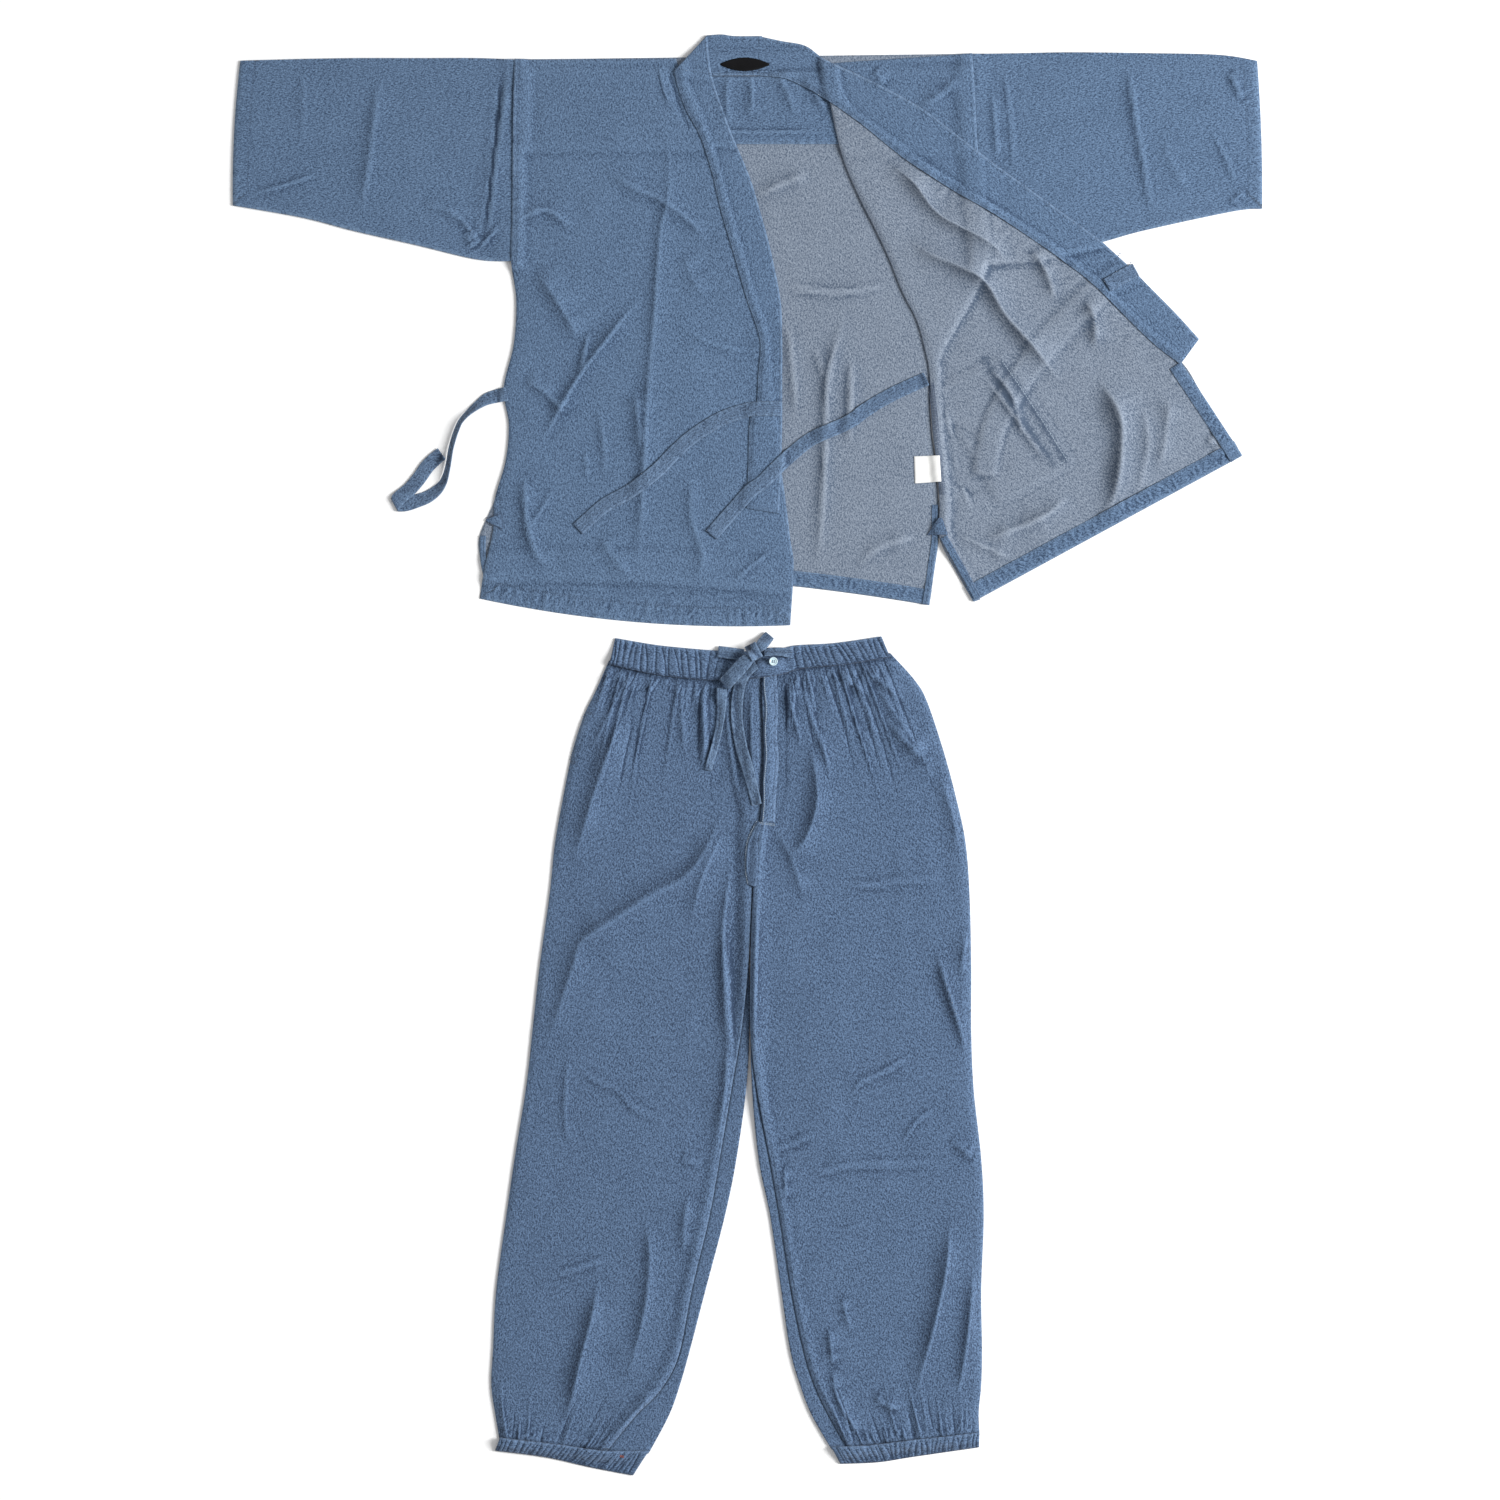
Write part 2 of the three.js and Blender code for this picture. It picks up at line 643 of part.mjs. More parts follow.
function leg(name, front, inner, cuff) {
  // The back panel lies on the table, turns up at the inner edge and ends at the inseam.
  const side = Math.sign(front[0].qx - front[0].px);
  const hem = (x) => heightOn(cuff, x, "p") + SEAM;
  const fitEnds = (grid) => {
    grid[0].forEach((p) => (p.y = waistSeam(p.x)));
    grid.at(-1).forEach((p) => (p.y = hem(p.x)));
    return grid;
  };
  const backTable = front.map((row, k) => ({ ...row, qx: inner[k][0], qy: inner[k][1] }));
  const turnTable = front.map((row, k) => {
    const [x, y] = inner[k];
    const [qx, qy] = k < CROTCH_ROW ? [x - side * ALLOWANCE, y] : [row.qx + side * SEAM, row.qy];
    return { px: x, py: y, qx, qy, bow: 0 };
  });
  const flat = lay(turned(fitEnds(ruled(backTable, 7))));
  const turn = lay(turned(fitEnds(ruled(turnTable, 1))));
  sheet(`${name}_back`, [flat, turn], COLOUR.outside);
  return () => {
    const folds = ridges(LEG_FOLDS);
    const rise = (x, y, i, j) => {
      const down = Math.min(1, (waistSeam(x) - y) / WAIST_GATHER.reach);
      return folds(x, y) * down + (j % 2 === 1 ? WAIST_GATHER.rise * (1 - down) : 0);
    };
    sheet(`${name}_front`, [lay(fitEnds(ruled(front, 12)), { rise })], COLOUR.outside);
  };
}
const layFronts = [
  leg("trousers_right", LEG_RIGHT_FRONT, LEG_RIGHT_INNER, CUFF_RIGHT),
  leg("trousers_left", LEG_LEFT_FRONT, LEG_LEFT_INNER, CUFF_LEFT),
];
layFronts.forEach((layFront) => layFront());

function casing(name, table, steps, gathered = () => true) {
  const grid = ruled(table, 2, steps);
  const rise = (x, y, i) => (i % 2 === 1 && gathered(x) ? CASING_GATHER : 0);
  const under = lay(grid, { wall: CASING });
  const over = lay(reversed(grid), { wall: CASING, rise });
  sheet(name, [under, over], COLOUR.outside, true);
}
casing("waistband", WAISTBAND, 4, (x) => x < FLAT_FRONT.from || x > FLAT_FRONT.to);
casing("cuff_right", CUFF_RIGHT, 5);
casing("cuff_left", CUFF_LEFT, 5);
sheet("fly_placket", [lay(ruled(FLY, 1, 4))], COLOUR.outside);

// ---- drawstring and button ----
function seatOf({ x, y }, radius) {
  const [w, e, s, n] = [x - radius, x + radius, y - radius, y + radius];
  return ground.peakIn({ x: w, y: s }, { x: e, y: s }, { x: e, y: n }, { x: w, y: n }) + SEAM;
}
const knotSeat = seatOf(KNOT, KNOT.width / 2);
const buttonSeat = seatOf(BUTTON, BUTTON.radius);
const knot = finish("drawstring_knot", new THREE.SphereGeometry(1, 12, 8), COLOUR.tape);
knot.scale.set(KNOT.length, KNOT.height, KNOT.width);
knot.rotation.set(Math.PI / 2, KNOT.turn, 0);
knot.position.set(KNOT.x, KNOT.y, knotSeat + KNOT.height);
const disc = new THREE.CylinderGeometry(BUTTON.radius, BUTTON.radius, BUTTON.height, BUTTON.sides);
const button = finish("waist_button", disc, COLOUR.button, 0.35);
button.rotation.x = Math.PI / 2;
button.position.set(BUTTON.x, BUTTON.y, buttonSeat + BUTTON.height / 2);

sheet("drawstring_strand_right", [layTape(STRAND_RIGHT)], COLOUR.tape);
sheet("drawstring_strand_left", [layTape(STRAND_LEFT)], COLOUR.tape);
sheet("drawstring_end_short", [layTape(END_SHORT)], COLOUR.tape);
sheet("drawstring_end_long", [layTape(END_LONG)], COLOUR.tape);
const loop = (out, back) => [layTape(back.toReversed()), layBack(out.toReversed())];
sheet("drawstring_loop_lower", loop(LOOP_LOWER_OUT, LOOP_LOWER_BACK), COLOUR.tape);
sheet("drawstring_loop_upper", loop(LOOP_UPPER_OUT, LOOP_UPPER_BACK), COLOUR.tape);

export default meshes;
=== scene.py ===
"""Looks of a samue laid flat: a wrap jacket above a pair of drawstring trousers.

Every piece of cloth is a thin closed shell that is laid, in the order of sewing and folding, on what is already
there. Tables of sections and routes are in millimetres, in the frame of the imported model; meshes are in metres.
"""

from __future__ import annotations

import logging
import math
from dataclasses import dataclass, field
from enum import Enum

import bpy
import numpy as np
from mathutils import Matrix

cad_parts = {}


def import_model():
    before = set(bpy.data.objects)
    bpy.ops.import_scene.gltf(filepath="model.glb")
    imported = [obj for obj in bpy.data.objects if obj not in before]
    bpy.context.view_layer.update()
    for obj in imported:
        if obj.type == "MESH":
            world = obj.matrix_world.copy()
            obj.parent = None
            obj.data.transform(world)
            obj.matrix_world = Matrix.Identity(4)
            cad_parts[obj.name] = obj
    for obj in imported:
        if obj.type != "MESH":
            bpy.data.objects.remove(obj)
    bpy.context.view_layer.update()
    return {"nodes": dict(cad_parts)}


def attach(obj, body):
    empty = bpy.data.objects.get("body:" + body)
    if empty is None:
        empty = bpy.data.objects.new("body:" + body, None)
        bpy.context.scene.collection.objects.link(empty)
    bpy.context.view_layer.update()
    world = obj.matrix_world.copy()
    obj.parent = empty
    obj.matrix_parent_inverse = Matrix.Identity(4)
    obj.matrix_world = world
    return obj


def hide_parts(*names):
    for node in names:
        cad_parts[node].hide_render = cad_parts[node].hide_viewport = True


logging.basicConfig(level=logging.INFO, format="%(message)s")
LOG = logging.getLogger("samue")

MM = 0.001
ROOT = "root"
CLOTH = 0.9  # wall of one layer
BAND = 1.5  # doubled collar with its turnings
CASING = 1.08  # upper wall of the waistband and cuff casings
HEM_STRIP = 0.55  # turned hem that shows on the reverse side
LABEL = 0.6  # labels and tacks
TAPE = 1.2  # folded and stitched tapes
CLEAR = 0.25  # air between two layers

Array = np.ndarray
Piece = bpy.types.Object
Look = bpy.types.Material
Point = tuple[float, float]
Path = tuple[Point, ...] | list[Point]
Table = list[tuple[float, ...]]


class Skin(Enum):
    """The two sides of the cloth, by material slot."""

    FACE = 0
    REVERSE = 1


# ---- jacket: sections (px, py, qx, qy, bow) from the wearer's right edge to the left edge ----
BACK: Table = [
    (-279, 834, 269, 841), (-280, 786, 272, 786), (-281, 722, 276, 722), (-282, 650, 281, 654), (-283, 592, 285, 596),
    (-277, 546, 255, 534), (-280, 493, 225, 474), (-292, 440, 219, 438), (-286, 396, 220, 392), (-290, 352, 225, 352),
    (-303, 306, 229, 300), (-321, 263, 229, 260), (-321, 239, 224, 222), (-317, 216, 218, 180, 14),
]
YOKE: Table = [(-272, 814, 266, 814), (-273, 774, 268, 774), (-274, 733, 270, 733)]
FRONT_RIGHT: Table = [
    (-279, 834, -86, 835), (-280, 798, -74, 799), (-281, 740, -50, 742), (-282, 650, -25, 652), (-283, 592, -9, 597),
    (-277, 546, 5, 548), (-280, 493, 20, 502), (-292, 440, 25, 440), (-286, 396, 32, 392), (-290, 352, 40, 342),
    (-303, 306, 46, 300), (-305, 269, 51, 258), (-315, 224, 55, 227), (-321, 188, 51, 156, -12),
]
FRONT_LEFT_UNDER: Table = [
    (269, 841, 92, 829), (272, 798, 98, 786), (275, 738, 112, 722), (279, 684, 131, 674), (283, 636, 153, 630),
    (285, 599, 169, 596), (265, 551, 185, 556), (241, 510, 203, 520), (226, 479, 213, 484), (226, 456, 218, 456),
    (229, 392, 221, 392), (234, 352, 226, 352), (238, 300, 230, 300), (238, 262, 230, 260), (258, 222, 250, 220),
    (279, 187, 271, 184),
]
FRONT_LEFT_FLAP: Table = [
    (92, 829, 104, 824), (98, 786, 116, 778), (112, 722, 159, 743), (131, 674, 213, 704), (153, 630, 269, 668),
    (169, 596, 321, 636), (185, 556, 369, 604), (203, 520, 411, 571), (213, 484, 445, 540), (218, 456, 473, 512),
    (221, 392, 520, 472), (226, 352, 541, 440), (230, 300, 557, 412), (230, 260, 569, 392), (250, 220, 581, 376),
    (271, 184, 593, 359),
]
SLEEVE_RIGHT: Table = [
    (-608, 833, -617, 659, -3), (-537, 835, -532, 644), (-470, 836, -470, 628), (-395, 836, -395, 611),
    (-323, 836, -323, 594), (-274, 834, -278, 592),
]
SLEEVE_LEFT: Table = [
    (264, 841, 281, 592), (327, 842, 351, 599), (387, 843, 421, 614), (476, 842, 476, 629), (565, 840, 583, 652),
    (611, 833, 617, 655, 2),
]
COLLAR_RIGHT_NECK: Table = [
    (17, 815, 17, 862), (-15, 815, -15, 862), (-50, 815, -31, 864), (-88, 820, -49, 863),
]
COLLAR_RIGHT_FRONT: Table = [
    (-88, 820, -49, 863), (-83, 800, -45, 824), (-74, 774, -38, 796), (-56, 740, -20, 746), (-42, 696, 1, 696),
    (-31, 650, 14, 654), (-15, 596, 27, 606), (-1, 547, 39, 545), (15, 498, 41, 498), (13, 456, 41, 456),
    (11, 422, 41, 422), (3, 402, 41, 402), (1, 348, 40, 348), (-1, 296, 37, 290),
]
COLLAR_LEFT: Table = [
    (13, 815, 13, 862), (45, 811, 41, 856), (70, 800, 70, 850), (87, 790, 95, 832), (131, 760, 142, 810),
    (189, 714, 209, 774), (251, 674, 273, 725), (307, 641, 328, 685), (379, 592, 403, 631), (417, 562, 443, 599),
    (482, 498, 507, 536), (519, 469, 541, 499),
]
POCKET: Table = [(236, 435, 305, 472), (305, 309, 383, 352)]
NECK_LABEL: Table = [
    (-32, 829, -32, 827), (-18, 834, -18, 822), (-3, 836, -3, 820), (12, 834, 12, 822), (26, 829, 26, 827),
]
CARE_LABEL: Table = [(200, 358, 201, 326), (230, 359, 232, 328)]
VENT_TACK_RIGHT: Table = [(-314, 282, -311, 279), (-297, 289, -293, 271)]
VENT_TACK_LEFT: Table = [(229, 284, 233, 284), (216, 264, 240, 264)]

# ---- trousers: sections from the side to the centre front or inseam, waist to cuff ----
LEG_RIGHT_FRONT: Table = [
    (-166, 113, 17, 96), (-181, 78, 17, 66), (-195, 49, 19, 24), (-209, 6, 19, -18), (-221, -52, 17, -60),
    (-231, -109, 11, -100), (-237, -167, 5, -166), (-249, -253, 1, -246), (-257, -325, -7, -325),
    (-265, -397, -19, -397), (-279, -484, -34, -486), (-289, -553, -46, -553), (-301, -641, -67, -641),
    (-305, -714, -83, -720), (-307, -756, -105, -762), (-302, -792, -134, -792), (-297, -822, -170, -836),
]
LEG_LEFT_FRONT: Table = [
    (171, 122, 17.6, 96), (200, 90, 17.6, 66), (215, 64, 19.6, 24), (235, 4, 19.6, -18), (250, -52, 17.6, -60),
    (261, -104, 12, -100), (266, -167, 7, -166), (268, -253, 4, -246), (268, -330, 3.6, -330), (271, -402, 11, -397),
    (280, -484, 27, -484), (283, -553, 39, -553), (280, -641, 53, -641), (281, -714, 68, -714), (280, -756, 81, -756),
    (277, -788, 98, -792), (278, -816, 121, -832),
]
LEG_RIGHT_INNER: Path = [
    (4, 96), (4, 66), (4, 24), (4, -18), (4, -60), (3, -100), (2.6, -166), (2.6, -246), (2.6, -325), (-1, -397),
    (-13, -484), (-27, -553), (-50, -641), (-69, -714), (-81, -756), (-94, -792), (-118, -837),
]
LEG_LEFT_INNER: Path = [
    (4.6, 96), (4.6, 66), (4.6, 24), (4.6, -18), (4.6, -60), (3.6, -100), (3.2, -166), (3.2, -246), (3.2, -325),
    (5, -397), (13, -484), (27, -553), (40, -641), (51, -714), (63, -756), (77, -792), (100, -832),
]
POCKET_MOUTH: Path = [(-192.6, 49.2), (-201, 22), (-210.6, -7.2)]
CROTCH_ROW = 8
ALLOWANCE = 3
WAISTBAND: Table = [
    (-159, 140, -166, 109), (-112, 132, -112, 97), (-75, 128, -71, 92), (-38, 125, -43, 90), (-3, 124, -3, 91),
    (33, 125, 37, 96), (57, 131, 65, 104), (105, 134, 118, 109), (161, 142, 171, 118),
]
CUFF_RIGHT: Table = [
    (-297, -818, -303, -834), (-230, -826, -242, -842), (-170, -834, -189, -854), (-118, -834, -137, -864),
]
CUFF_LEFT: Table = [(278, -812, 278, -830), (196, -821, 196, -842), (147, -827, 157, -848), (100, -829, 111, -850)]
LAP: Table = [
    (12, -79, 17, -83), (2, -99, 12, -101), (-1, -114, 12.5, -126), (-2, -135, 11.5, -149), (1, -155, 10, -158),
]
FLY: Table = [
    (20, 112, 34, 112), (19, 84, 35, 86), (21.5, 56, 36.5, 54), (20, 28, 35, 24), (21.5, 0, 37, -4),
    (19, -30, 35.5, -30), (19, -55, 33.5, -56), (17, -80, 33, -80),
]

# ---- tapes, by their centre lines: (x, y, width, lean) ----
TIE_WIDTH = 16.0
TIE_COLLAR_RIGHT: Table = [
    (40, 415), (11, 415), (-3, 413), (-32, 403), (-64, 383), (-86, 364), (-106, 343), (-123, 329), (-141, 316),
    (-170, 300), (-189, 284), (-203, 271),
]
TIE_INNER: Table = [
    (214, 451), (189, 440), (163, 427), (142, 414), (123, 400), (99, 389), (75, 378), (51, 359), (31, 340), (17, 326),
    (3, 316), (-15, 296), (-31, 278), (-43, 264),
]
TIE_SIDE_OUT: Table = [
    (-289, 433, 16, 0), (-310, 428, 14, 2), (-323, 420, 10, 6), (-335, 410, 7, 9), (-344, 400, 6, 9),
    (-349, 389, 6, 9), (-353, 377, 6, 9), (-356, 365, 6, 9), (-358, 352, 6, 9), (-361, 338, 7, 9), (-365, 327, 9, 7),
    (-372, 318, 12, 4), (-383, 310, 14, 2), (-396, 305, 15, 0), (-410, 301), (-424, 300),
]
TIE_SIDE_BACK: Table = [(-424, 300), (-417, 309), (-405, 319), (-394, 332), (-385, 345), (-376, 354), (-367, 361)]
TIE_COLLAR_LEFT_TAIL: Table = [(285, 342), (297, 396), (327, 450), (375, 510), (429, 562), (466, 582)]
TIE_COLLAR_LEFT_BAND: Table = [(466, 582), (448, 573), (431, 563)]
STRAND_RIGHT: Table = [(-35, 124, 13), (-20, 122, 13), (-5, 120, 13)]
STRAND_LEFT: Table = [(53, 122, 11), (36, 124, 9), (20, 123, 9)]
LOOP_UPPER: Table = [(11, 126, 9), (17, 132, 13), (22, 138, 13), (27, 144, 12)]
LOOP_LOWER: Table = [(2, 116, 13), (-5, 109, 16), (-15, 98, 16), (-28, 84, 16)]
KNOT_WRAP: Table = [(3, 132, 13.5), (7, 124, 13.5), (12, 115, 13.5)]
END_SHORT: Table = [
    (-31, 80, 11), (-31, 66, 11), (-32, 47, 9), (-35, 28, 8), (-40, 7, 8), (-44, -6, 8), (-47, -18, 8),
]
END_LONG: Table = [
    (10, 108, 10), (3, 104, 13), (-3, 98, 13), (-9, 85, 13), (-12, 68, 13), (-13, 48, 13), (-11, 29, 13), (-7, 8, 13),
    (-1, -12, 13), (5, -34, 12), (11, -59, 11),
]
BUTTON_PLACE = (31, 112)

# ---- creases: (path, height, width on its left, width on its right) ----
CREASES_SLEEVE_RIGHT: Table = [
    (4.8, 12, 9, -284, 826, -300, 724, -311, 616), (-2.9, 3, 3, -293, 831, -304, 713, -317, 614),
    (2.6, 4, 5, -343, 642, -332, 630, -321, 611), (3, 4, 5, -321, 607, -308, 622, -298, 634),
    (3, 12, 10, -439, 826, -450, 733, -464, 636), (1.2, 10, 8, -532, 826, -532, 733),
    (1.8, 5, 5, -598, 672, -564, 680, -512, 697), (2.4, 10, 7, -390, 661, -361, 654, -331, 634),
    (2.4, 8, 5, -339, 628, -327, 606),
]
CREASES_FRONT_RIGHT: Table = [
    (-2.4, 3, 4, -97, 827, -88, 800, -80, 774, -66, 743), (1.9, 4, 3, -107, 828, -100, 800, -92, 775),
    (3.6, 10, 7, -275, 641, -241, 653, -207, 630), (6, 24, 13, -254, 582, -227, 543, -198, 494),
    (4.8, 9, 9, -251, 365, -222, 419, -200, 456, -171, 494, -144, 528, -119, 553),
    (2.6, 5, 5, -200, 456, -195, 484, -189, 509),
    (3.8, 15, 9, -96, 782, -94, 675, -104, 626, -111, 528, -119, 431, -127, 284, -133, 177),
    (4.8, 14, 10, -172, 704, -139, 682, -104, 666, -65, 637, -46, 612),
    (1.4, 6, 5, -90, 524, -51, 498, -12, 486, 7, 493), (2.4, 16, 12, -77, 602, -61, 564, -43, 548),
    (4.3, 14, 9, -268, 453, -239, 433, -216, 406), (3.4, 12, 10, -134, 441, -128, 358),
    (1.9, 8, 7, -179, 421, -172, 377, -170, 328), (1.6, 7, 6, -195, 372, -190, 328),
    (5, 14, 9, -267, 343, -265, 284, -254, 245, -232, 221), (1.4, 5, 4, -228, 327, -247, 293, -265, 264),
    (3.1, 16, 11, -177, 265, -155, 231, -133, 216), (3.4, 13, 10, -67, 343, -66, 284, -53, 240, -60, 206),
    (1.9, 5, 4, 29, 244, 7, 228, -17, 206),
]
CREASES_YOKE: Table = [
    (1.3, 2, 5, -60, 750, 20, 747, 110, 750), (2.8, 9, 7, 0, 824, 6, 796, 4, 760),
    (3.1, 10, 8, 30, 826, 46, 800, 60, 764), (2.5, 8, 7, -20, 822, -24, 790, -20, 752),
    (2.8, 8, 6, 70, 812, 84, 790, 96, 768),
]
CREASES_BACK: Table = [
    (2.7, 7, 5, 40, 562, 85, 556, 118, 555, 170, 563), (3.4, 9, 8, 9, 669, 30, 679, 59, 691, 78, 695),
    (5.1, 10, 8, 119, 540, 109, 502, 96, 445, 93, 351, 85, 214), (4.4, 9, 6, 125, 483, 124, 445, 122, 365),
    (3, 8, 7, 48, 530, 56, 445, 58, 398), (1.6, 7, 5, 81, 492, 92, 450), (3, 12, 9, 132, 226, 160, 249, 207, 263),
]
CREASES_FLAP: Table = [
    (11.4, 20, 12, 167, 712, 198, 686, 226, 650, 259, 630, 295, 610, 314, 582),
    (13, 20, 12, 188, 622, 217, 601, 255, 584, 285, 566, 309, 528, 342, 490, 380, 443),
    (13, 20, 13, 420, 455, 446, 407, 448, 360, 439, 308, 420, 280), (6.5, 12, 9, 342, 606, 361, 573, 369, 542),
    (6.5, 14, 10, 403, 549, 417, 521, 416, 483), (4.9, 9, 7, 287, 469, 317, 431, 331, 379),
    (-9.7, 15, 15, 238, 405, 260, 358, 269, 304), (6.5, 14, 12, 283, 256, 354, 285, 388, 314),
    (2.4, 8, 7, 255, 263, 295, 245, 318, 235), (4.9, 18, 14, 507, 433, 501, 374, 491, 337),
    (3.8, 14, 12, 474, 422, 481, 374, 468, 308), (2.6, 7, 6, 552, 384, 571, 360),
]
CREASES_SHOULDER_LEFT: Table = [
    (3, 10, 8, 151, 820, 167, 804), (4, 12, 10, 207, 773, 233, 792, 257, 813),
]
CREASES_SLEEVE_LEFT: Table = [
    (1.8, 6, 4, 307, 828, 315, 776, 322, 691), (3.1, 9, 8, 295, 799, 298, 761, 302, 709),
    (3.6, 12, 7, 457, 837, 464, 776, 476, 705, 488, 639), (3.6, 9, 5, 578, 820, 595, 784),
    (2.4, 6, 6, 598, 677, 579, 660), (1.6, 6, 4, 554, 757, 573, 719, 589, 681),
    (1.9, 14, 12, 501, 752, 508, 714, 534, 672),
]
CREASES_LEG_RIGHT: Table = [
    (-6.5, 7, 5, -46, 84, -42, 40, -38, 0, -34, -40), (3.5, 6, 5, -56, 88, -53, 40, -50, -6),
    (3, 6, 5, -25, 92, -24, 50, -20, 8, -12, -40, 0, -84), (-3, 5, 4, -8, 92, -5, 60, 0, 0, 8, -60),
    (2.4, 4, 3, 6, 100, 5, 60, 6, 0, 12, -56), (4.7, 6, 8, -16, -120, -28, -200, -27, -290, -22, -360),
    (-5.9, 6, 7, -3, -150, -12, -220, -14, -300, -9, -380), (3.1, 8, 6, -76, 90, -78, 50, -74, 0),
    (-3.4, 5, 6, -120, 100, -128, 60, -134, 20), (3.1, 9, 7, -140, 100, -160, 60, -186, 6),
    (-5.9, 6, 6, -97, 95, -102, 55, -106, -6), (9.1, 24, 15, -141, 59, -161, 17, -182, -42, -196, -90, -210, -135),
    (7.8, 24, 14, -26, -46, -40, -95, -73, -145, -113, -167, -157, -196, -198, -224, -208, -252, -220, -288,
     -244, -365),
    (4, 10, 7, -52, 87, -52, 35, -52, -26), (3.9, 12, 10, -26, -90, -52, -143, -68, -204),
    (5.2, 8, 12, -31, -208, -24, -268, -19, -369),
    (2, 5, 4, -208, -369, -182, -389, -155, -401, -137, -421, -101, -439),
    (2, 7, 5, -214, -354, -218, -411, -216, -451, -199, -471), (5.2, 8, 14, -23, -330, -27, -411, -36, -467),
    (2, 6, 5, -81, -484, -52, -490), (3.9, 12, 9, -68, -524, -75, -556, -76, -601),
    (5.9, 14, 11, -123, -544, -117, -589, -119, -641, -129, -694, -145, -754),
    (2, 5, 4, -242, -626, -210, -618, -166, -603),
    (9.1, 18, 12, -176, -621, -186, -673, -200, -726, -209, -766, -220, -809),
    (5.2, 10, 8, -113, -758, -137, -795, -166, -819),
]
CREASES_LEG_LEFT: Table = [
    (-3.4, 3, 5, 43, 108, 46, 62, 43, 14, 45, -30, 39, -78), (2.6, 3, 4, 52, 106, 56, 70, 53, 30),
    (-4.5, 4, 5, 40, 96, 41, 60, 40, 20, 36, -20, 33, -66), (3.5, 5, 5, 50, 92, 51, 60, 48, 24),
    (3.5, 6, 5, 45, 86, 58, 40, 66, 8), (4.5, 5, 14, 14, -160, 10, -240, 8, -320, 10, -384),
    (3.2, 9, 6, 60, 100, 72, 60, 90, 10, 104, -34), (-3.9, 5, 6, 120, 98, 131, 60, 150, 20),
    (4.2, 14, 10, 30, -80, 52, -120, 70, -176), (3.4, 12, 8, 150, 94, 170, 60, 205, 10, 224, -40),
    (-7, 8, 8, 37, 99, 37, 35, 35, -26, 32, -70), (2.5, 6, 5, 59, 95, 56, 65), (-5.2, 5, 5, 80, 87, 84, 47, 92, 17),
    (6.5, 12, 8, 107, 103, 123, 87, 148, 73), (6.5, 12, 8, 136, 99, 160, 89, 186, 63),
    (7.2, 16, 12, 164, 47, 188, 19, 214, -8), (1.3, 5, 4, 144, 63, 149, 35, 145, 21),
    (9.1, 18, 13, 76, 15, 83, -30, 83, -62, 71, -99, 47, -129), (2, 9, 7, 109, -154, 150, -156, 190, -150, 243, -150),
    (3.9, 12, 10, 230, -22, 250, -86, 247, -119), (3.9, 9, 8, 264, -208, 256, -268),
    (6.5, 9, 7, 227, -230, 237, -270, 251, -315, 266, -365), (2, 5, 4, 202, -358, 162, -381, 133, -395, 129, -416),
    (1.6, 5, 4, 228, -425, 206, -437, 196, -450, 183, -471), (3.9, 8, 6, 243, -460, 272, -483),
    (2.3, 6, 4, 28, -475, 53, -467, 83, -455), (2.6, 7, 5, 69, -499, 93, -499, 129, -492, 190, -491, 230, -489),
    (3.9, 7, 5, 45, -492, 47, -534), (3.1, 8, 6, 113, -649, 125, -694), (4.4, 8, 6, 98, -686, 103, -734),
    (9.1, 12, 14, 245, -548, 239, -613, 226, -677, 210, -738, 199, -778),
    (6.5, 9, 10, 272, -613, 267, -673, 259, -734, 250, -778), (3.9, 8, 6, 150, -764, 162, -776, 186, -784),
    (5.9, 9, 7, 103, -734, 107, -766, 126, -803, 140, -817),
]


@dataclass(frozen=True)
class Crease:
    """A soft ridge, or a trough when its height is below 0, along a drawn line."""

    path: Path
    height: float
    left: float  # width to the left of its direction
    right: float
    fade_in: float = 0.3  # share of its length over which it rises
    fade_out: float = 0.3


@dataclass(frozen=True)
class SeamLine:
    """A sewn line or a hemmed edge."""

    path: Path
    band: float  # distance of its row of stitches; below 0 the line lies sunk and is painted darker as shade


def creases(table: Table) -> list[Crease]:
    """Reads rows of height, left width, right width, and the points of the path."""
    return [Crease(tuple(zip(row[3::2], row[4::2])), *row[:3]) for row in table]


def smoothed(rows: Array, steps: int) -> Array:
    """Adds rows between those of a table, on a smooth curve.

    Args:
        rows: The table.
        steps: Steps from one row to the next.

    Returns:
        The longer table.
    """
    rows = np.asarray(rows, float)
    padded = np.vstack([rows[:1], rows, rows[-1:]])
    a, b, c, d = (padded[k : len(padded) - 3 + k, None, :] for k in range(4))
    t = (np.arange(steps) / steps)[None, :, None]
    curve = 0.5 * (2 * b + (c - a) * t + (2 * a - 5 * b + 4 * c - d) * t**2 + (3 * b - a - 3 * c + d) * t**3)
    return np.vstack([curve.reshape(-1, rows.shape[1]), rows[-1:]])


def unit(vectors: Array) -> Array:
    """Vectors of length 1."""
    return vectors / np.maximum(np.linalg.norm(vectors, axis=-1, keepdims=True), 1e-9)


def steps_of(path: Array) -> Array:
    """Distances from each point of a line to the next."""
    return np.linalg.norm(np.diff(path, axis=0), axis=1)


def ease(t: Array) -> Array:
    """0 to 1, level at both ends."""
    t = np.clip(t, 0, 1)
    return t * t * (3 - 2 * t)


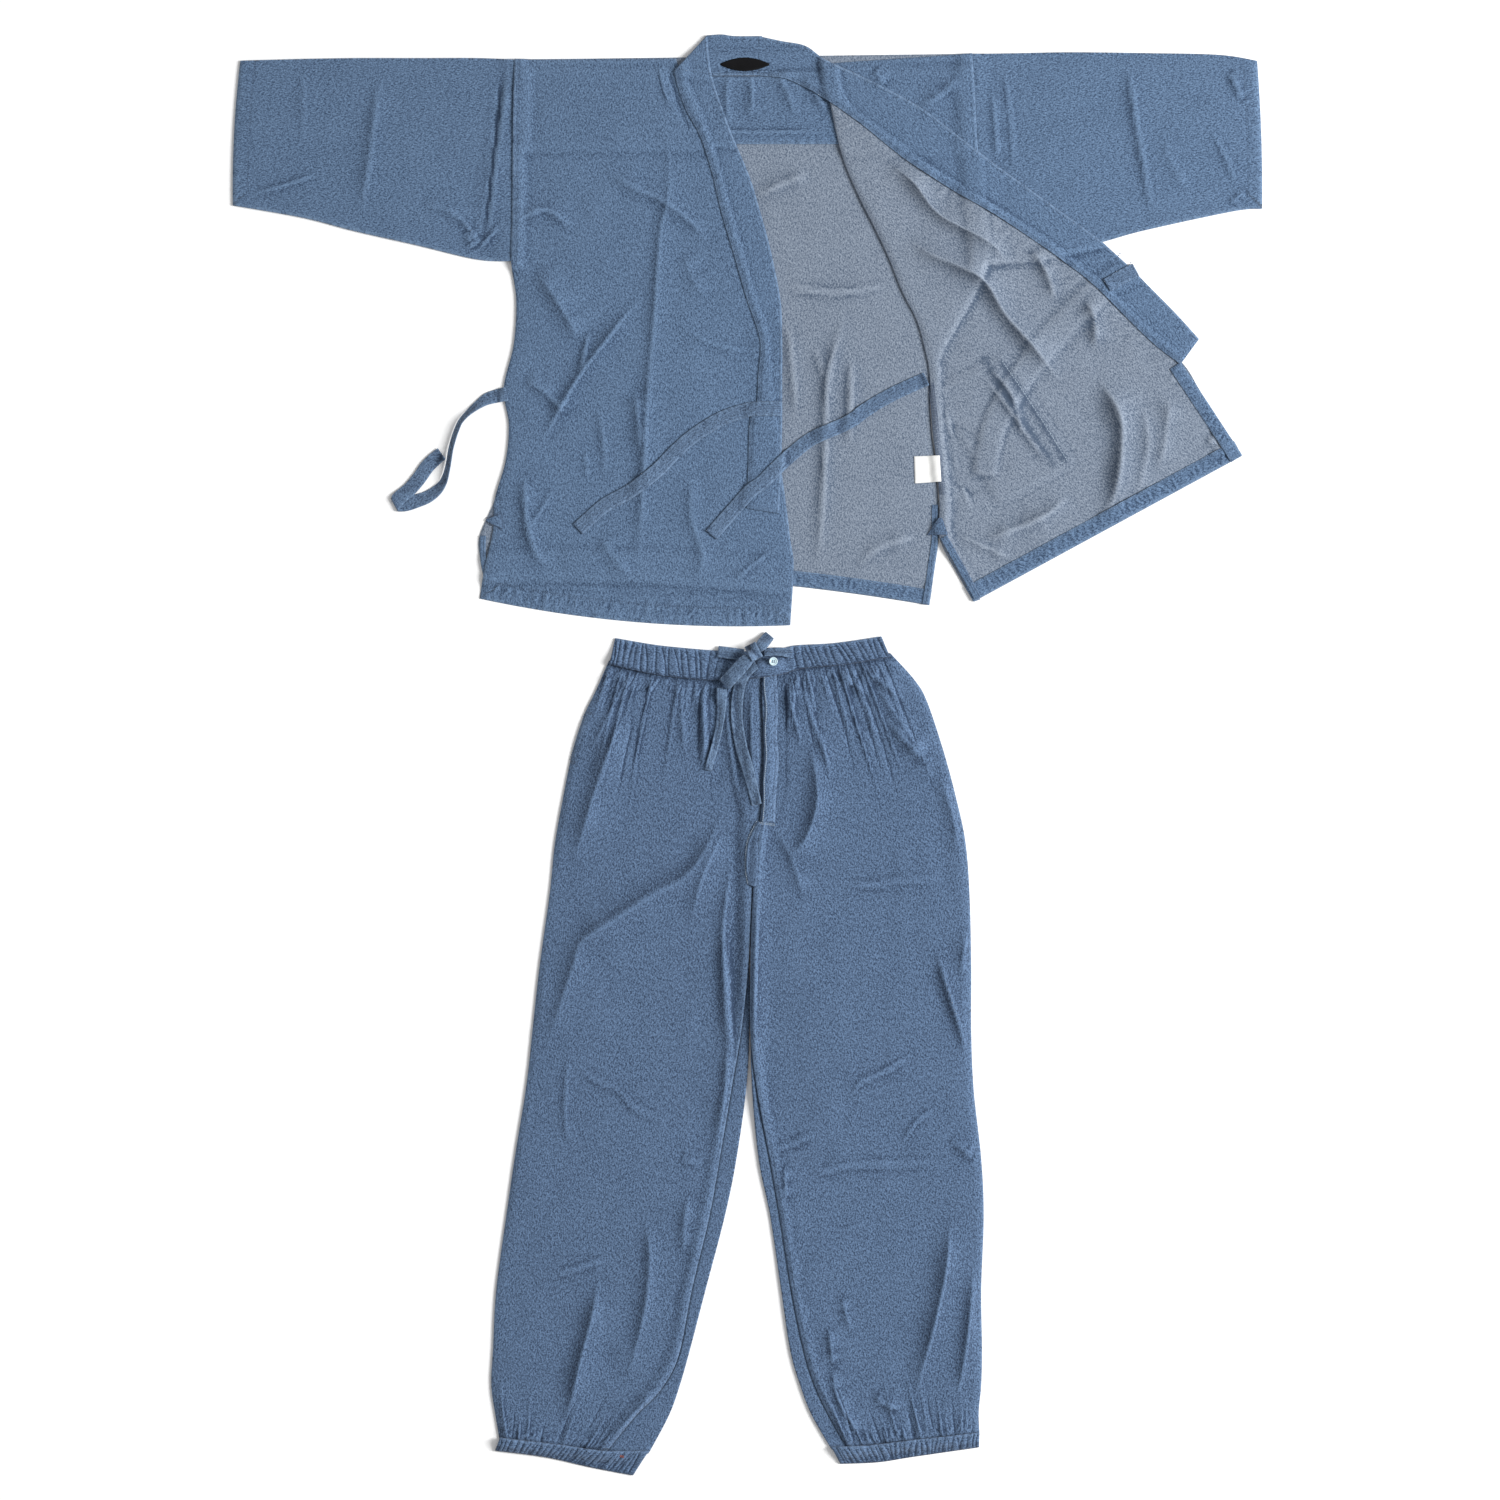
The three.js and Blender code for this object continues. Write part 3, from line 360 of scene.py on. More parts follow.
def nearest(points: Array, path: Array) -> tuple[Array, Array, Array]:
    """Where points lie beside a line.

    Args:
        points: Points.
        path: The line.

    Returns:
        Distance from the line, distance along it, and side: 1 left, -1 right.
    """
    a, run = path[:-1], np.diff(path, axis=0)
    length = np.maximum(np.linalg.norm(run, axis=1), 1e-9)
    away = points[:, None, :] - a[None]
    t = np.clip((away * run).sum(-1) / length**2, 0, 1)
    foot = away - t[..., None] * run
    distance = np.linalg.norm(foot, axis=-1)
    k = distance.argmin(1)
    pick = np.arange(len(points))
    start = np.concatenate([[0], np.cumsum(length)[:-1]])
    side = np.sign(run[k, 0] * away[pick, k, 1] - run[k, 1] * away[pick, k, 0])
    return distance[pick, k], start[k] + t[pick, k] * length[k], side


def between(raster: Array, i: Array, j: Array, fu: Array, fv: Array) -> Array:
    """Reads a raster, which repeats, between its cells.

    Args:
        raster: The raster.
        i: Cells along its first axis.
        j: Cells along its second axis.
        fu: Shares of the way to the next cell.
        fv: The same along the second axis.

    Returns:
        The values.
    """
    n, m = raster.shape
    low, high = (
        raster[i % n, (j + step) % m] * (1 - fu) + raster[(i + 1) % n, (j + step) % m] * fu for step in (0, 1)
    )
    return low * (1 - fv) + high * fv


class Ripple:
    """Smooth seeded unevenness over the plan: the slack that laid cloth keeps."""

    TILE = 64  # cells after which it repeats

    def __init__(self, seed: int, across: float, along: float, turn: float = 0.0) -> None:
        """Sets the waves.

        Args:
            seed: Their seed.
            across: Their size in X.
            along: Their size in Y.
            turn: Degrees that they are turned by.
        """
        self.lattice = np.random.default_rng(seed).uniform(-1, 1, (self.TILE, self.TILE))
        self.size = (across, along)
        self.turn = math.radians(turn)

    def at(self, plan: Array) -> Array:
        """Heights from -1 to 1.

        Args:
            plan: Points.

        Returns:
            Their heights.
        """
        c, s = math.cos(self.turn), math.sin(self.turn)
        u = (plan[..., 0] * c + plan[..., 1] * s) / self.size[0]
        v = (-plan[..., 0] * s + plan[..., 1] * c) / self.size[1]
        i, j = np.floor(u).astype(int), np.floor(v).astype(int)
        return between(self.lattice, i, j, ease(u - i), ease(v - j))


@dataclass
class Relief:
    """What a leaf of cloth rises by, over its seat."""

    ridges: list[Crease]
    slack: float  # height of the unevenness
    base: float  # lift of the whole leaf
    seed: int
    grain: float = 0.0  # degrees that the unevenness is turned by

    WIDE, FINE, PATCHY, CRUMPLE = (70, 110), (22, 40), (60, 60), (9, 16)  # its waves, across and along
    REACH = 3.2  # widths beyond which a crease adds nothing

    def at(self, plan: Array) -> Array:
        """Heights, never below 0.

        Args:
            plan: Points.

        Returns:
            Their heights.
        """
        wide = Ripple(self.seed, *self.WIDE, self.grain).at(plan)
        fine = Ripple(self.seed + 1, *self.FINE, self.grain + 8).at(plan)
        fine = fine * Ripple(self.seed + 2, *self.PATCHY).at(plan)
        crumple = Ripple(self.seed + 3, *self.CRUMPLE, self.grain - 12).at(plan)
        height = self.base + self.slack * (wide + 0.8 * fine + 0.14 * crumple)
        for number, ridge in enumerate(self.ridges):
            height += self.ridge(ridge, plan, number)
        return 0.5 * (height + np.sqrt(height**2 + 0.09))

    def ridge(self, crease: Crease, plan: Array, number: int) -> Array:
        """What one crease adds.

        Args:
            crease: The crease.
            plan: Points.
            number: Its place in the list, which fixes its unevenness.

        Returns:
            Their heights.
        """
        path = smoothed(crease.path, 6)
        added = np.zeros(plan.shape[:-1])
        reach = self.REACH * max(crease.left, crease.right)
        near = np.all((plan > path.min(0) - reach) & (plan < path.max(0) + reach), axis=-1)
        if not near.any():
            return added
        distance, along, side = nearest(plan[near], path)
        total = float(steps_of(path).sum())
        share = along / max(total, 1e-6)
        uneven = 1 + 0.25 * np.sin(share * 5.1 + number * 1.7) * np.sin(share * 11.3 + number)
        width = np.where(side > 0, crease.left, crease.right) * (0.75 + 0.25 * uneven)
        share_away = distance / width
        profile = 0.4 * np.exp(-share_away / 0.4) + 0.6 * np.exp(-1.15 * share_away**1.35)
        fade = np.ones_like(share)
        if crease.fade_in > 0:
            fade *= ease(share / crease.fade_in)
        if crease.fade_out > 0:
            fade *= ease((1 - share) / crease.fade_out)
        added[near] = crease.height * profile * fade * uneven
        return added


def widest(heights: Array, radius: int) -> Array:
    """The highest value in a square round each cell.

    Args:
        heights: A raster.
        radius: Half the side of the square.

    Returns:
        The new raster.
    """
    for axis in (0, 1):
        padded = np.pad(heights, [(radius, radius) if a == axis else (0, 0) for a in (0, 1)], mode="edge")
        count = heights.shape[axis]
        slices = [np.take(padded, range(k, k + count), axis=axis) for k in range(2 * radius + 1)]
        heights = np.max(slices, axis=0)
    return heights


def softened(heights: Array, radius: int) -> Array:
    """The mean in a square round each cell, three times over.

    Args:
        heights: A raster.
        radius: Half the side of the square.

    Returns:
        The new raster.
    """
    span = 2 * radius + 1
    for _ in range(3):
        for axis in (0, 1):
            pad = [(radius + 1, radius) if a == axis else (0, 0) for a in (0, 1)]
            total = np.cumsum(np.pad(heights, pad, mode="edge"), axis=axis, dtype=float)
            count = heights.shape[axis]
            heights = (
                np.take(total, range(span, span + count), axis=axis) - np.take(total, range(count), axis=axis)
            ) / span
    return heights


class Bed:
    """Heights of all that is laid so far, seen from above, on a raster in millimetres."""

    STEP = 1.5
    CORNER = np.array([-690.0, -930.0])
    COUNT = (920, 1240)  # cells

    def __init__(self) -> None:
        """Starts as a bare table."""
        self.heights = np.zeros(self.COUNT)

    def cells(self, plan: Array) -> Array:
        """Places in the raster, in cells, of points in millimetres."""
        return (plan - self.CORNER) / self.STEP

    def top(self, plan: Array) -> Array:
        """The height at points."""
        return self.sample(self.heights, self.cells(plan))

    @staticmethod
    def sample(raster: Array, cells: Array) -> Array:
        """Reads a raster between its cells.

        Args:
            raster: The raster.
            cells: Places, any shape by 2.

        Returns:
            Their values.
        """
        i = np.clip(np.floor(cells[..., 0]).astype(int), 0, raster.shape[0] - 2)
        j = np.clip(np.floor(cells[..., 1]).astype(int), 0, raster.shape[1] - 2)
        return between(raster, i, j, np.clip(cells[..., 0] - i, 0, 1), np.clip(cells[..., 1] - j, 0, 1))

    def seat(self, plan: Array, soft: int) -> Array:
        """How high cloth lies over what is there.

        Args:
            plan: Points.
            soft: Cells over which it rounds a step.

        Returns:
            Their heights.
        """
        margin = 3 * soft + 3
        low = np.maximum(np.floor(self.cells(plan).reshape(-1, 2).min(0)).astype(int) - margin, 0)
        high = np.ceil(self.cells(plan).reshape(-1, 2).max(0)).astype(int) + margin
        part = self.heights[low[0] : high[0], low[1] : high[1]]
        laid = np.maximum(softened(widest(part, 3 * soft), soft), widest(part, 1))
        found = self.sample(laid, self.cells(plan) - low)
        return np.where(found > 0.01, found + CLEAR, 0.0)

    def press(self, plan: Array, top: Array) -> None:
        """Adds a leaf's top to what is there.

        Args:
            plan: Its grid of points.
            top: The height of each.
        """
        values = np.concatenate([plan, top[..., None]], axis=-1)
        pieces = 4
        for s in range(pieces):
            for t in range(pieces):
                a, b = s / pieces, t / pieces
                mixed = (
                    values[:-1, :-1] * (1 - a) * (1 - b) + values[1:, :-1] * a * (1 - b)
                    + values[:-1, 1:] * (1 - a) * b + values[1:, 1:] * a * b
                )
                self.mark(mixed.reshape(-1, 3))
        self.mark(values[-1])
        self.mark(values[:, -1])

    def mark(self, points: Array) -> None:
        """Raises the cells under points to their heights."""
        cells = np.round(self.cells(points[:, :2])).astype(int)
        inside = np.all((cells >= 0) & (cells < np.array(self.COUNT)), axis=1)
        np.maximum.at(self.heights, (cells[inside, 0], cells[inside, 1]), points[inside, 2])


@dataclass
class Leaf:
    """One layer of a piece of cloth, laid on a grid of points: lines by places by 2."""

    plan: Array
    low: Array
    high: Array
    grain: Array  # place on the flat cloth
    seam: Array  # along the nearest sewn line, from it, of its stitches, and the bend that the shader turns into painted shade and painted highlight


FAR = 200.0  # distance given where a leaf has no sewn line
SHARP = 1.65  # gain from bend in a millimetre to the painted shade in the folds and the painted highlight on ridges


def paces(plan: Array) -> tuple[list[Array], Array, Array]:
    """Measures a grid of points.

    Args:
        plan: The grid.

    Returns:
        Distances between its lines and between its places, then those from its first line and its first place.
    """
    gaps = [np.linalg.norm(np.diff(plan, axis=axis), axis=-1) for axis in (0, 1)]
    lines = np.pad(np.cumsum(gaps[0], axis=0), [(1, 0), (0, 0)])
    places = np.pad(np.cumsum(gaps[1], axis=1), [(0, 0), (1, 0)])
    return gaps, lines, places


def grain_of(plan: Array, turn: float | None) -> Array:
    """Where the points of a leaf lie on the flat cloth.

    Args:
        plan: Grid of points.
        turn: As lay() has it.

    Returns:
        The grid of places.
    """
    if turn is not None:
        c, s = math.cos(math.radians(turn)), math.sin(math.radians(turn))
        return np.stack([plan[..., 0] * c + plan[..., 1] * s, -plan[..., 0] * s + plan[..., 1] * c], -1)
    _, lines, places = paces(plan)
    middle = slice(plan.shape[1] // 2, plan.shape[1] // 2 + 1)
    return np.stack([places - places[:, middle], np.broadcast_to(lines[:, middle], lines.shape)], -1)


def seams_of(plan: Array, lines: list[SeamLine]) -> Array:
    """The nearest sewn line of each point.

    Args:
        plan: Grid of points.
        lines: The sewn lines.

    Returns:
        Distance along the line, from it, and of its stitches.
    """
    flat = plan.reshape(-1, 2)
    best = np.stack([np.zeros(len(flat)), np.full(len(flat), FAR), np.zeros(len(flat))], -1)
    for number, line in enumerate(lines):
        path = smoothed(line.path, 5) if len(line.path) > 2 else np.array(line.path, float)
        distance, along, _ = nearest(flat, path)
        closer = distance < best[:, 1]
        best[closer] = np.stack([along + 37.0 * number, distance, np.full(len(flat), line.band)], -1)[closer]
    return best.reshape(*plan.shape[:-1], 3)


def bend_of(high: Array, gaps: list[Array]) -> Array:
    """How sharply cloth is bent: up to 1 in hollows, down to -1 on ridges.

    Args:
        high: Heights on a grid.
        gaps: Distances between its lines and between its places.

    Returns:
        A value for each point.
    """
    bend = np.zeros_like(high)
    for axis in (0, 1):
        slope = np.diff(high, axis=axis) / np.maximum(gaps[axis], 0.5)
        bend += np.pad(np.diff(slope, axis=axis), [(1, 1) if a == axis else (0, 0) for a in (0, 1)])
    return np.clip(bend * SHARP, -1, 1)


class Lay(Enum):
    """How much a leaf rounds the steps beneath it, in cells of the bed."""

    CLOSE = 1
    SOFT = 2


def lay(
    bed: Bed, plan: Array, relief: Relief | None = None, wall: float | Array = CLOTH, hold: Lay = Lay.SOFT,
    fall: tuple[float, ...] = (), grain: float | None = 0.0, seams: list[SeamLine] | None = None,
    rise: Array | float = 0.0,
) -> Leaf:
    """Lays one leaf of cloth on the bed.

    Args:
        bed: What is there.
        plan: Grid of points.
        relief: Creases and unevenness.
        wall: Thickness of the cloth.
        hold: How it rounds steps.
        fall: Reach over which the relief dies away at the first and last line, and first and last place.
        grain: Degrees from the plan's axes to the cloth's, or None where the cloth follows the grid.
        seams: Sewn lines.
        rise: Height added all over or by a grid.

    Returns:
        The leaf.
    """
    low = bed.seat(plan, hold.value)
    gaps, lines, places = paces(plan)
    share = np.ones(plan.shape[:-1])
    for reach, away in zip(fall, (lines, lines[-1:] - lines, places, places[:, -1:] - places)):
        if reach > 0:
            share *= np.sqrt(ease(away / reach))
    if relief is not None:
        low = low + relief.at(plan) * share
    low = low + rise * share
    high = low + wall
    bed.press(plan, high)
    # the bend of the top is kept for the painted shade in hollows and the painted highlight on ridges
    marks = np.concatenate([seams_of(plan, seams or []), bend_of(high, gaps)[..., None]], axis=-1)
    return Leaf(plan, low, high, grain_of(plan, grain), marks)


@dataclass
class Shell:
    """A closed shell of cloth that follows its leaves, each turned over the last along their shared fold."""

    leaves: list[Leaf]
    joined: bool = False  # the last leaf folds back into the first
    outer: Skin = Skin.FACE  # side of the cloth that is outside at the folds

    TURN_ROWS = 8  # lines over which a fold makes room for its turn
    ARC = (-60.0, -25.0, 25.0, 60.0)  # degrees round the turn
    RIM = 0.45  # how far an edge stands out, as a share of the wall

    def mesh(self, name: str) -> Piece:
        """Builds the shell, with both sides of the cloth by material slot."""
        outer, inner, grain, seam = self.skins()
        vertices, faces, sides = self.rings(outer, inner)
        return mesh_object(name, vertices * MM, faces, sides, self.spread(grain) * MM, self.spread(seam) * MM)

    def skins(self) -> tuple[Array, ...]:
        """Lines of both skins, with rounded turns at the folds.

        Returns:
            Points of the outer skin and of the inner skin, then grain and seam.
        """
        plans = [leaf.plan.copy() for leaf in self.leaves]
        heights = [(leaf.low, leaf.high)[:: -1 if k % 2 else 1] for k, leaf in enumerate(self.leaves)]
        count = len(self.leaves)
        turns: dict[int, Array] = {}
        for k in range(count if self.joined else count - 1):
            n = (k + 1) % count
            radius = np.abs(heights[n][0][0] - heights[k][0][-1]) / 2
            turns[k] = self.draw_in(plans[k][::-1], radius)
            self.draw_in(plans[n], radius)
        parts: list[list[Array]] = [[], [], [], []]
        angles = np.radians(self.ARC)[:, None]
        for k, leaf in enumerate(self.leaves):
            n = (k + 1) % count
            for side in (0, 1):
                parts[side].append(np.concatenate([plans[k], heights[k][side][..., None]], -1))
                if k in turns:
                    start, end = heights[k][side][-1], heights[n][side][0]
                    radius, up = np.abs(end - start) / 2, np.sign(heights[n][0][0] - heights[k][0][-1])
                    plan = plans[k][-1][None] + turns[k][None] * (radius * np.cos(angles))[..., None]
                    height = (end + start) / 2 + up * radius * np.sin(angles)
                    parts[side].append(np.concatenate([plan, height[..., None]], -1))
            for part, values in zip(parts[2:], (leaf.grain, leaf.seam)):
                part.append(values)
                if k in turns:
                    part.append(np.repeat(values[-1:], len(self.ARC), axis=0))
        return tuple(np.concatenate(part, axis=0) for part in parts)

    def draw_in(self, plan: Array, radius: Array) -> Array:
        """Makes room for a rounded turn at the first line of a grid.

        Args:
            plan: Grid of points, changed in place.
            radius: Room at each place.

        Returns:
            The outward direction at each place.
        """
        rows = min(self.TURN_ROWS, (len(plan) - 1) // 2)
        outward = unit(plan[0] - plan[rows])
        for i in range(rows):
            plan[i] -= outward * (radius * (1 - i / rows))[:, None]
        return outward

    def rings(self, outer: Array, inner: Array) -> tuple[Array, list[tuple[int, ...]], list[int]]:
        """Vertices and faces of the closed shell.

        Args:
            outer: Points of the outer skin.
            inner: Points of the inner skin.

        Returns:
            Vertices, faces, and the material slot of each face.
        """
        count, places = outer.shape[:2]
        around = 2 * places + 2
        middle = (outer + inner) / 2
        half = np.abs(outer - inner)[..., 2:] * self.RIM
        level = np.array([1.0, 1.0, 0.0])
        start = middle[:, :1] + unit((middle[:, :1] - middle[:, 1:2]) * level) * half[:, :1]
        end = middle[:, -1:] + unit((middle[:, -1:] - middle[:, -2:-1]) * level) * half[:, -1:]
        vertices = [np.concatenate([outer, end, inner[:, ::-1], start], axis=1).reshape(-1, 3)]
        i = np.arange(count if self.joined else count - 1)[:, None]
        k = np.arange(around)[None, :]
        n, m = (i + 1) % count, (k + 1) % around
        quads = np.stack(np.broadcast_arrays(i * around + k, i * around + m, n * around + m, n * around + k), -1)
        other = Skin.REVERSE.value if self.outer is Skin.FACE else Skin.FACE.value
        side = np.where(k < places - 1, self.outer.value, np.where((k > places) & (k < around - 2), other, 0))
        faces = [tuple(int(v) for v in quad) for quad in quads.reshape(-1, 4)]
        sides = [int(v) for v in np.broadcast_to(side, quads.shape[:2]).reshape(-1)]
        if not self.joined:
            for line, inward, flip in ((0, 1, False), (count - 1, count - 2, True)):
                first = sum(len(v) for v in vertices)
                vertices.append(middle[line] + unit((middle[line] - middle[inward]) * level) * half[line])
                out = [line * around + j for j in range(places)]
                ins = [line * around + 2 * places - j for j in range(places)]
                side_end, side_start, last = line * around + places, line * around + around - 1, first + places - 1
                closing = []
                for j in range(places - 1):
                    closing.append((out[j + 1], out[j], first + j, first + j + 1))
                    closing.append((ins[j], ins[j + 1], first + j + 1, first + j))
                closing += [(side_end, out[-1], last), (ins[-1], side_end, last)]
                closing += [(side_start, ins[0], first), (out[0], side_start, first)]
                faces += [face[::-1] if flip else face for face in closing]
                sides += [0] * len(closing)
        return np.concatenate(vertices), faces, sides

    def spread(self, values: Array) -> Array:
        """Gives each vertex the values of its place on the grid.

        Args:
            values: Values by line and place.

        Returns:
            Values by vertex, in the order of rings().
        """
        ring = np.concatenate([values, values[:, -1:], values[:, ::-1], values[:, :1]], axis=1)
        parts = [ring.reshape(-1, values.shape[-1])]
        if not self.joined:
            parts += [values[0], values[-1]]
        return np.concatenate(parts)


def linked(name: str, data: bpy.types.ID) -> Piece:
    """A new object in the scene."""
    made = bpy.data.objects.new(name, data)
    bpy.context.scene.collection.objects.link(made)
    return made


def deselected() -> None:
    """Leaves nothing selected."""
    bpy.ops.object.select_all(action="DESELECT")


def mesh_object(
    name: str, vertices: Array, faces: list[tuple[int, ...]], sides: list[int], grain: Array, seam: Array
) -> Piece:
    """Makes a smooth mesh object with the cloth's own coordinates, in metres.

    Args:
        name: Name of the object.
        vertices: Its vertices.
        faces: Indices of each face.
        sides: Material slot of each face.
        grain: Place of each vertex on the flat cloth.
        seam: Marks of each vertex, as a leaf has them.

    Returns:
        The object, its faces turned outwards.
    """
    triangles = np.array([(f[0], f[k], f[k + 1]) for f in faces for k in range(1, len(f) - 1)])
    a, b, c = (vertices[triangles[:, k]] for k in range(3))
    if float((a * np.cross(b, c)).sum()) < 0:
        faces = [face[::-1] for face in faces]
    mesh = bpy.data.meshes.new(name)
    mesh.from_pydata(vertices.tolist(), [], faces)
    mesh.polygons.foreach_set("use_smooth", [True] * len(faces))
    mesh.polygons.foreach_set("material_index", sides)
    loops = np.zeros(len(mesh.loops), np.int32)
    mesh.loops.foreach_get("vertex_index", loops)
    layer = mesh.uv_layers.new(name="grain")
    layer.data.foreach_set("uv", grain[loops].astype(np.float32).ravel())
    attribute = mesh.attributes.new("seam", "FLOAT_VECTOR", "POINT")
    attribute.data.foreach_set("vector", seam[:, :3].astype(np.float32).ravel())
    # bend: drives the painted shade in hollows and the painted highlight on ridges
    attribute = mesh.attributes.new("bend", "FLOAT", "POINT")
    attribute.data.foreach_set("value", (seam[:, 3] / MM).astype(np.float32))
    mesh.update()
    return linked(name, mesh)


class Socket:
    """An output of a node; arithmetic on it adds Math nodes."""

    def __init__(self, shader: Shader, output: bpy.types.NodeSocket) -> None:
        """Wraps an output of one shader's node."""
        self.shader = shader
        self.output = output

    def __add__(self, other: Number) -> Socket:
        """The sum."""
        return self.shader.math("ADD", self, other)

    def __sub__(self, other: Number) -> Socket:
        """The difference."""
        return self.shader.math("SUBTRACT", self, other)

    def __mul__(self, other: Number) -> Socket:
        """The product."""
        return self.shader.math("MULTIPLY", self, other)

    def __truediv__(self, other: Number) -> Socket:
        """The quotient."""
        return self.shader.math("DIVIDE", self, other)

    def __radd__(self, other: float) -> Socket:
        """The sum, with a number first."""
        return self.shader.math("ADD", other, self)

    def __rsub__(self, other: float) -> Socket:
        """The difference, from a number."""
        return self.shader.math("SUBTRACT", other, self)

    def __rmul__(self, other: float) -> Socket:
        """The product, with a number first."""
        return self.shader.math("MULTIPLY", other, self)

    def __abs__(self) -> Socket:
        """The size without its sign."""
        return self.shader.math("ABSOLUTE", self, 0.0)


Number = Socket | float
Colour = tuple[float, float, float]


def linear(colour: Colour) -> tuple[float, float, float, float]:
    """A display colour, 0 to 255, in linear light, with alpha 1."""
    parts = [c / 255 for c in colour]
    return (*(c / 12.92 if c <= 0.04045 else ((c + 0.055) / 1.055) ** 2.4 for c in parts), 1.0)


class Shader:
    """A material under construction."""

    TURN = 0.62  # radians that each pattern is turned by
    GAIN = 3.2  # makes noise about -1 to 1

    def __init__(self, name: str, roughness: float, sheen: float = 0.0, specular: float = 0.5) -> None:
        """Starts a material.

        Args:
            name: Its name.
            roughness: Its even roughness.
            sheen: Weight of the nap's sheen.
            specular: Level of its gloss.
        """
        self.material = bpy.data.materials.new(name)
        self.material.use_nodes = True
        self.tree = self.material.node_tree
        self.surface = self.tree.nodes["Principled BSDF"]
        self.surface.inputs["Roughness"].default_value = roughness
        self.surface.inputs["Sheen Weight"].default_value = sheen
        self.surface.inputs["Sheen Roughness"].default_value = 0.5
        self.surface.inputs["Specular IOR Level"].default_value = specular

    def node(
        self, kind: str, settings: dict[str, object], inputs: dict[str | int, object], output: str | int = 0
    ) -> Socket:
        """Adds a node.

        Args:
            kind: Type of the node.
            settings: Its properties, set first.
            inputs: Values or links of its sockets.
            output: The output that is wanted.

        Returns:
            The output.
        """
        made = self.tree.nodes.new(kind)
        for name, value in settings.items():
            setattr(made, name, value)
        for name, value in inputs.items():
            if isinstance(value, Socket):
                self.tree.links.new(value.output, made.inputs[name])
            else:
                made.inputs[name].default_value = value
        return Socket(self, made.outputs[output])

    def math(self, operation: str, a: Number, b: Number) -> Socket:
        """Adds a Math node on two values."""
        return self.node("ShaderNodeMath", {"operation": operation}, {0: a, 1: b})

    def clamp(self, value: Socket) -> Socket:
        """Keeps a value from 0 to 1."""
        return self.node("ShaderNodeMath", {"operation": "ADD", "use_clamp": True}, {0: value, 1: 0.0})

    def mix(self, share: Number, a: object, b: object) -> Socket:
        """Mixes two colours, by the share of the second."""
        return self.node("ShaderNodeMix", {"data_type": "RGBA"}, {0: share, 6: a, 7: b}, 2)

    def grain(self) -> Socket:
        """Place on the flat cloth, in metres."""
        return self.node("ShaderNodeUVMap", {"uv_map": "grain"}, {})

    def place(self) -> Socket:
        """Place in the piece's own space, in metres."""
        return self.node("ShaderNodeTexCoord", {}, {}, "Object")

    def scaled(self, vector: Socket, scale: Colour) -> Socket:
        """Scales a vector and then turns it, so that no pattern keeps to the piece's axes."""
        inputs = {"Vector": vector, "Scale": scale, "Rotation": (0.0, 0.0, self.TURN)}
        return self.node("ShaderNodeMapping", {}, inputs)

    def noise(self, vector: Socket, scale: Colour, detail: float = 2.0, rough: float = 0.5) -> Socket:
        """Noise from about -1 to 1, by its waves in a metre, its octaves and the strength of the finer ones."""
        inputs = {"Vector": self.scaled(vector, scale), "Scale": 1.0, "Detail": detail, "Roughness": rough}
        return (self.node("ShaderNodeTexNoise", {}, inputs) - 0.5) * self.GAIN

    def seam(self) -> tuple[Socket, Socket, Socket]:
        """Distance along the nearest sewn line, from it, and of its stitches, in metres."""
        vector = self.node("ShaderNodeAttribute", {"attribute_name": "seam"}, {}, "Vector")
        split = self.node("ShaderNodeSeparateXYZ", {}, {0: vector})
        outputs = split.output.node.outputs
        return tuple(Socket(self, outputs[axis]) for axis in range(3))

    def near(self, distance: Socket, reach: float) -> Socket:
        """1 where a distance is 0, down to 0 at the reach."""
        return self.clamp(1.0 - abs(distance) / reach)

    def done(self, colour: Socket, height: Socket, roughness: Socket | None = None) -> Look:
        """Connects the surface.

        Args:
            colour: Its colour.
            height: Its relief, in metres.
            roughness: Its roughness, where it varies.

        Returns:
            The material.
        """
        bump = self.node("ShaderNodeBump", {}, {"Height": height, "Distance": 1.0, "Strength": 1.0})
        self.tree.links.new(colour.output, self.surface.inputs["Base Color"])
        self.tree.links.new(bump.output, self.surface.inputs["Normal"])
        if roughness is not None:
            self.tree.links.new(roughness.output, self.surface.inputs["Roughness"])
        return self.material


